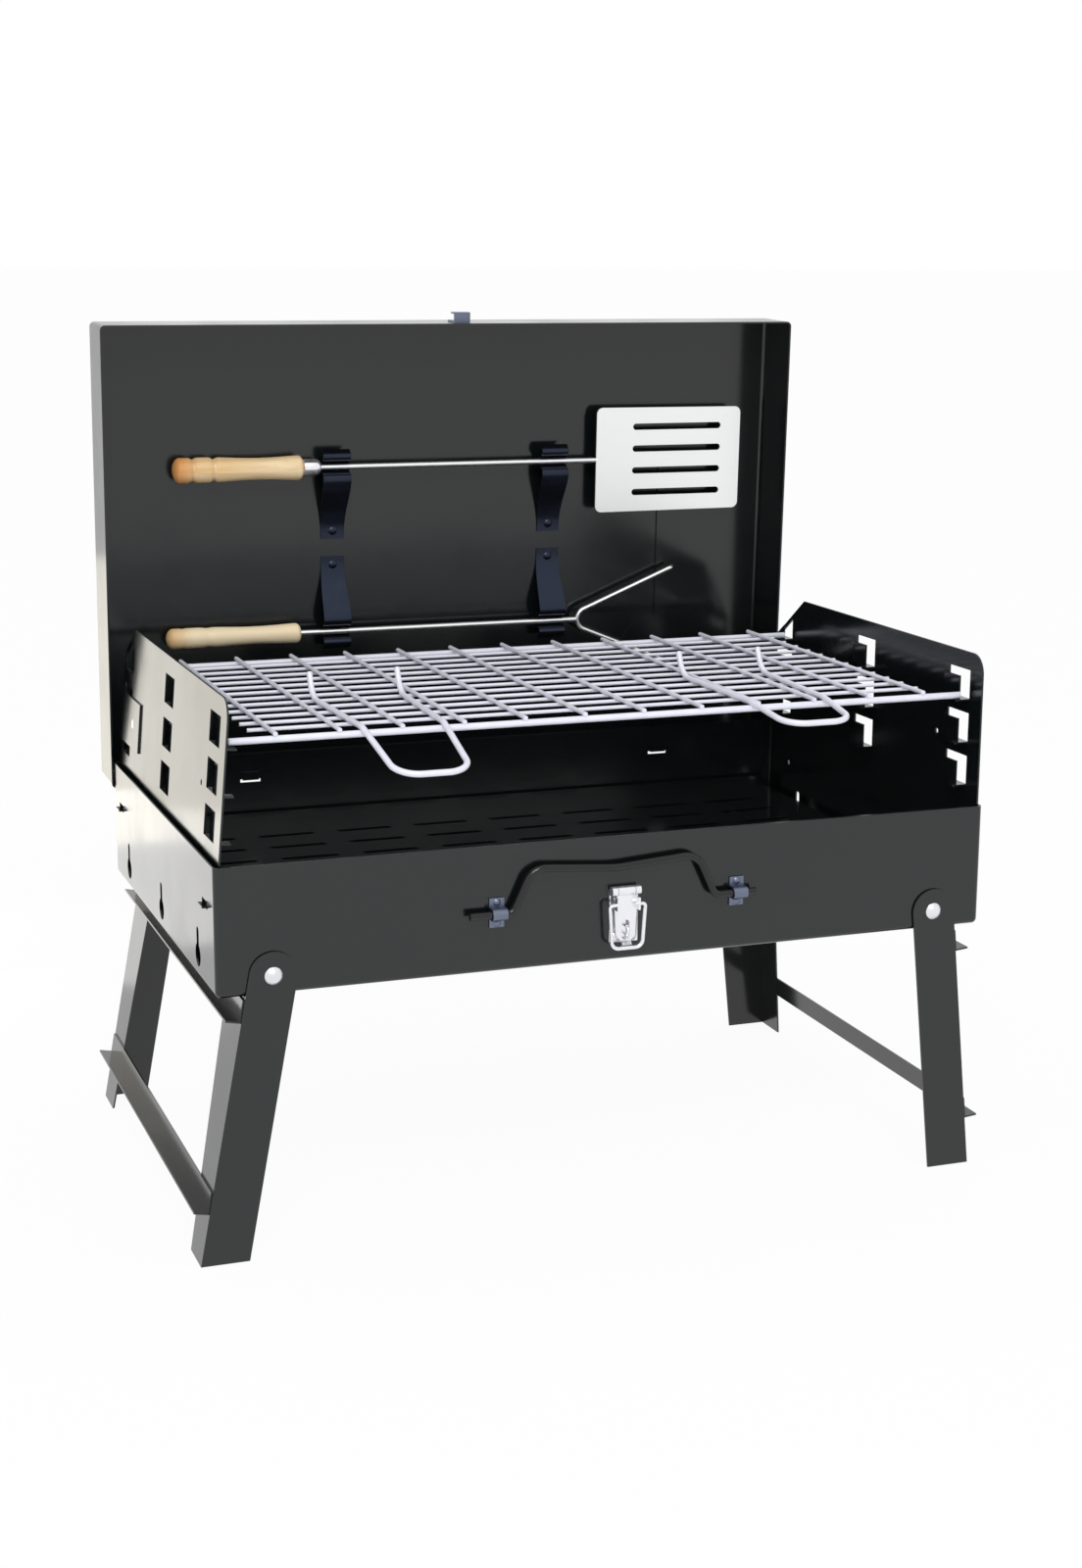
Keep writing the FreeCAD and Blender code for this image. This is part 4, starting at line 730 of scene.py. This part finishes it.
class GRILL_OT_tools(bpy.types.Operator):
    """Make the turned handles, and finish the spatula and the fork"""

    bl_idname = "grill.tools"
    bl_label = "Tools"

    def execute(self, context):
        dress("brushed_stainless", "spatula_blade", "spatula_rod", "fork_rod")
        # Each groove is its centre along the handle, its depth and its width, as shares.
        deep_grooves = [(0.15, 0.14, 0.018), (0.31, 0.16, 0.02)]
        faint_grooves = [(0.12, 0.06, 0.015), (0.30, 0.08, 0.03)]
        turned_handle("spatula_turned_handle", "spatula_handle", "spatula_body", deep_grooves,
                      "spatula_beech")
        turned_handle("fork_turned_handle", "fork_handle", "fork_body", faint_grooves,
                      "fork_beech")
        drawn_ferrule()
        bent_prongs()
        return {"FINISHED"}


class GRILL_OT_front_hardware(bpy.types.Operator):
    """Finish the carrying handle, its straps and the toggle latch"""

    bl_idname = "grill.front_hardware"
    bl_label = "Front hardware"

    def execute(self, context):
        dress("gloss_enamel", "carry_handle")
        # The straps and their rivets are black paint, drawn as bluish metal: a painted
        # reflection of sky.
        dress("strap_painted_sky_sheen", "handle_straps", "handle_strap_rivets")
        dress("latch_plate", "latch_base", "latch_pin", "latch_rivets", "latch_lever",
              "latch_bail")
        return {"FINISHED"}


def add_softbox(name, place, aim, size, power, colour=(1.0, 1.0, 1.0)):
    """A flat lamp at a place, turned towards a point and hidden from the camera."""
    lamp = bpy.data.lights.new(name, "AREA")
    lamp.shape = "RECTANGLE"
    lamp.size, lamp.size_y = size
    lamp.energy = power
    lamp.color = colour
    holder = bpy.data.objects.new(name, lamp)
    holder.location = place
    holder.rotation_euler = (Vector(aim) - Vector(place)).to_track_quat("-Z", "Y").to_euler()
    holder.visible_camera = False
    bpy.context.collection.objects.link(holder)


def seen_white(tree):
    """1 where the eye, a reflection or a view through glass asks, and 0 where light does."""
    rays = add_node(tree, "ShaderNodeLightPath")
    seen = add_node(tree, "ShaderNodeMath", {},
                    {0: rays.outputs["Is Camera Ray"], 1: rays.outputs["Is Glossy Ray"]},
                    operation="MAXIMUM")
    seen = add_node(tree, "ShaderNodeMath", {},
                    {0: seen.outputs[0], 1: rays.outputs["Is Transmission Ray"]},
                    operation="MAXIMUM")
    return seen.outputs[0]


def white_room(strength):
    """A world that lights at a plain level and shows white to the eye and to reflections."""
    world = bpy.data.worlds.new("white_room")
    bpy.context.scene.world = world
    world.use_nodes = True
    tree = world.node_tree
    tree.nodes.clear()
    level = add_node(tree, "ShaderNodeMapRange", {"To Min": strength, "To Max": 1.0},
                     {"Value": seen_white(tree)})
    sky = add_node(tree, "ShaderNodeBackground", {"Color": (1, 1, 1, 1)},
                   {"Strength": level.outputs["Result"]})
    add_node(tree, "ShaderNodeOutputWorld", {}, {"Surface": sky.outputs[0]})


def white_floor(reach, keep_shadow):
    """A floor that shows white and keeps part of the grill's shadow.

    It reaches that many metres each way. Where it is seen it glows white, apart from the
    share keep_shadow, which is paper that the grill shades.
    """
    paper_white = 0.9
    corners = [(-reach, -reach, 0), (reach, -reach, 0), (reach, reach, 0), (-reach, reach, 0)]
    mesh = bpy.data.meshes.new("floor")
    mesh.from_pydata(corners, [], [(0, 1, 2, 3)])
    material = bpy.data.materials.new("white_floor")
    material.use_nodes = True
    tree = material.node_tree
    tree.nodes.clear()
    lifted = add_node(tree, "ShaderNodeMath", {1: 1.0 - keep_shadow}, {0: seen_white(tree)},
                      operation="MULTIPLY")
    paper = add_node(tree, "ShaderNodeBsdfDiffuse",
                     {"Color": (paper_white, paper_white, paper_white, 1)})
    glow = add_node(tree, "ShaderNodeEmission", {"Color": (1, 1, 1, 1), "Strength": 1.0})
    mix = add_node(tree, "ShaderNodeMixShader", {}, {0: lifted.outputs[0]})
    tree.links.new(paper.outputs[0], mix.inputs[1])
    tree.links.new(glow.outputs[0], mix.inputs[2])
    add_node(tree, "ShaderNodeOutputMaterial", {}, {"Surface": mix.outputs[0]})
    mesh.materials.append(material)
    floor = bpy.data.objects.new("floor", mesh)
    bpy.context.collection.objects.link(floor)


def place_camera(stage):
    """A camera whose view is azimuth and elevation round the grill, rolled a little."""
    data = bpy.data.cameras.new("camera")
    data.sensor_fit = "VERTICAL"
    data.sensor_height = 36.0
    data.lens = stage.lens * data.sensor_height
    data.clip_start = 0.01
    camera = bpy.data.objects.new("camera", data)
    camera.location = stage.place
    turn = Euler((math.pi / 2 - stage.elevation, 0.0, stage.azimuth), "XYZ").to_matrix()
    camera.rotation_euler = (turn @ Euler((0, 0, stage.roll)).to_matrix()).to_euler()
    bpy.context.collection.objects.link(camera)
    bpy.context.scene.camera = camera


class GRILL_OT_stage(bpy.types.Operator):
    """Set the camera, the lamps, the white room and the floor"""

    bl_idname = "grill.stage"
    bl_label = "Stage"

    def execute(self, context):
        stage = context.scene.grill_stage
        context.scene.view_settings.view_transform = "Standard"
        low, high = np.array(CAD_BOX)
        middle = (low + high) / 2
        place_camera(stage)
        white_room(stage.fill)
        white_floor(reach=60.0, keep_shadow=0.05)
        add_softbox("front_softbox", (-0.6, -1.9, 2.0), middle, (1.1, 0.7), stage.key_power)
        # Two low lamps behind the grill's left side face forwards, so that its enamel mirrors
        # them at a grazing angle. The lower one is nearly white, the upper one warmer.
        for name, place, size, power, colour in (
            ("low_left_softbox", (-0.40, 0.42, 0.065), (0.36, 0.12), stage.low_power,
             (1.0, 0.985, 0.96)),
            ("left_softbox", (-0.40, 0.60, 0.155), (0.40, 0.23), stage.rim_power,
             (1.0, 0.93, 0.75)),
        ):
            ahead = (place[0], -1.0, place[2])
            add_softbox(name, place, ahead, size, power, colour)
        return {"FINISHED"}


class GRILL_PT_panel(bpy.types.Panel):
    """Lists the grill's pieces and its settings"""

    bl_idname = "GRILL_PT_panel"
    bl_label = "Folding camp grill"
    bl_space_type = "VIEW_3D"
    bl_region_type = "UI"
    bl_category = "Grill"

    def draw(self, context):
        for operator in OPERATORS:
            self.layout.operator(operator.bl_idname)
        scene = context.scene
        for group in (scene.grill_hardware, scene.grill_finishes, scene.grill_stage):
            box = self.layout.box()
            for name in group.bl_rna.properties.keys():
                if name not in ("rna_type", "name"):
                    box.prop(group, name)


OPERATORS = (
    GRILL_OT_firebox, GRILL_OT_legs, GRILL_OT_lid, GRILL_OT_side_panels, GRILL_OT_cooking_grid,
    GRILL_OT_tools, GRILL_OT_front_hardware, GRILL_OT_stage,
)
CLASSES = (GrillHardware, GrillFinishes, GrillStage) + OPERATORS + (GRILL_PT_panel,)


def register():
    """Register the classes and hang the settings on the scene."""
    for cls in CLASSES:
        bpy.utils.register_class(cls)
    bpy.types.Scene.grill_hardware = PointerProperty(type=GrillHardware)
    bpy.types.Scene.grill_finishes = PointerProperty(type=GrillFinishes)
    bpy.types.Scene.grill_stage = PointerProperty(type=GrillStage)


def unregister():
    """Take the settings and the classes away again."""
    del bpy.types.Scene.grill_stage
    del bpy.types.Scene.grill_finishes
    del bpy.types.Scene.grill_hardware
    for cls in reversed(CLASSES):
        bpy.utils.unregister_class(cls)


def main():
    """Make every piece in order."""
    register()
    bpy.ops.grill.firebox()
    bpy.ops.grill.legs()
    bpy.ops.grill.lid()
    bpy.ops.grill.side_panels()
    bpy.ops.grill.cooking_grid()
    bpy.ops.grill.tools()
    bpy.ops.grill.front_hardware()
    bpy.ops.grill.stage()


if __name__ == "__main__":
    main()
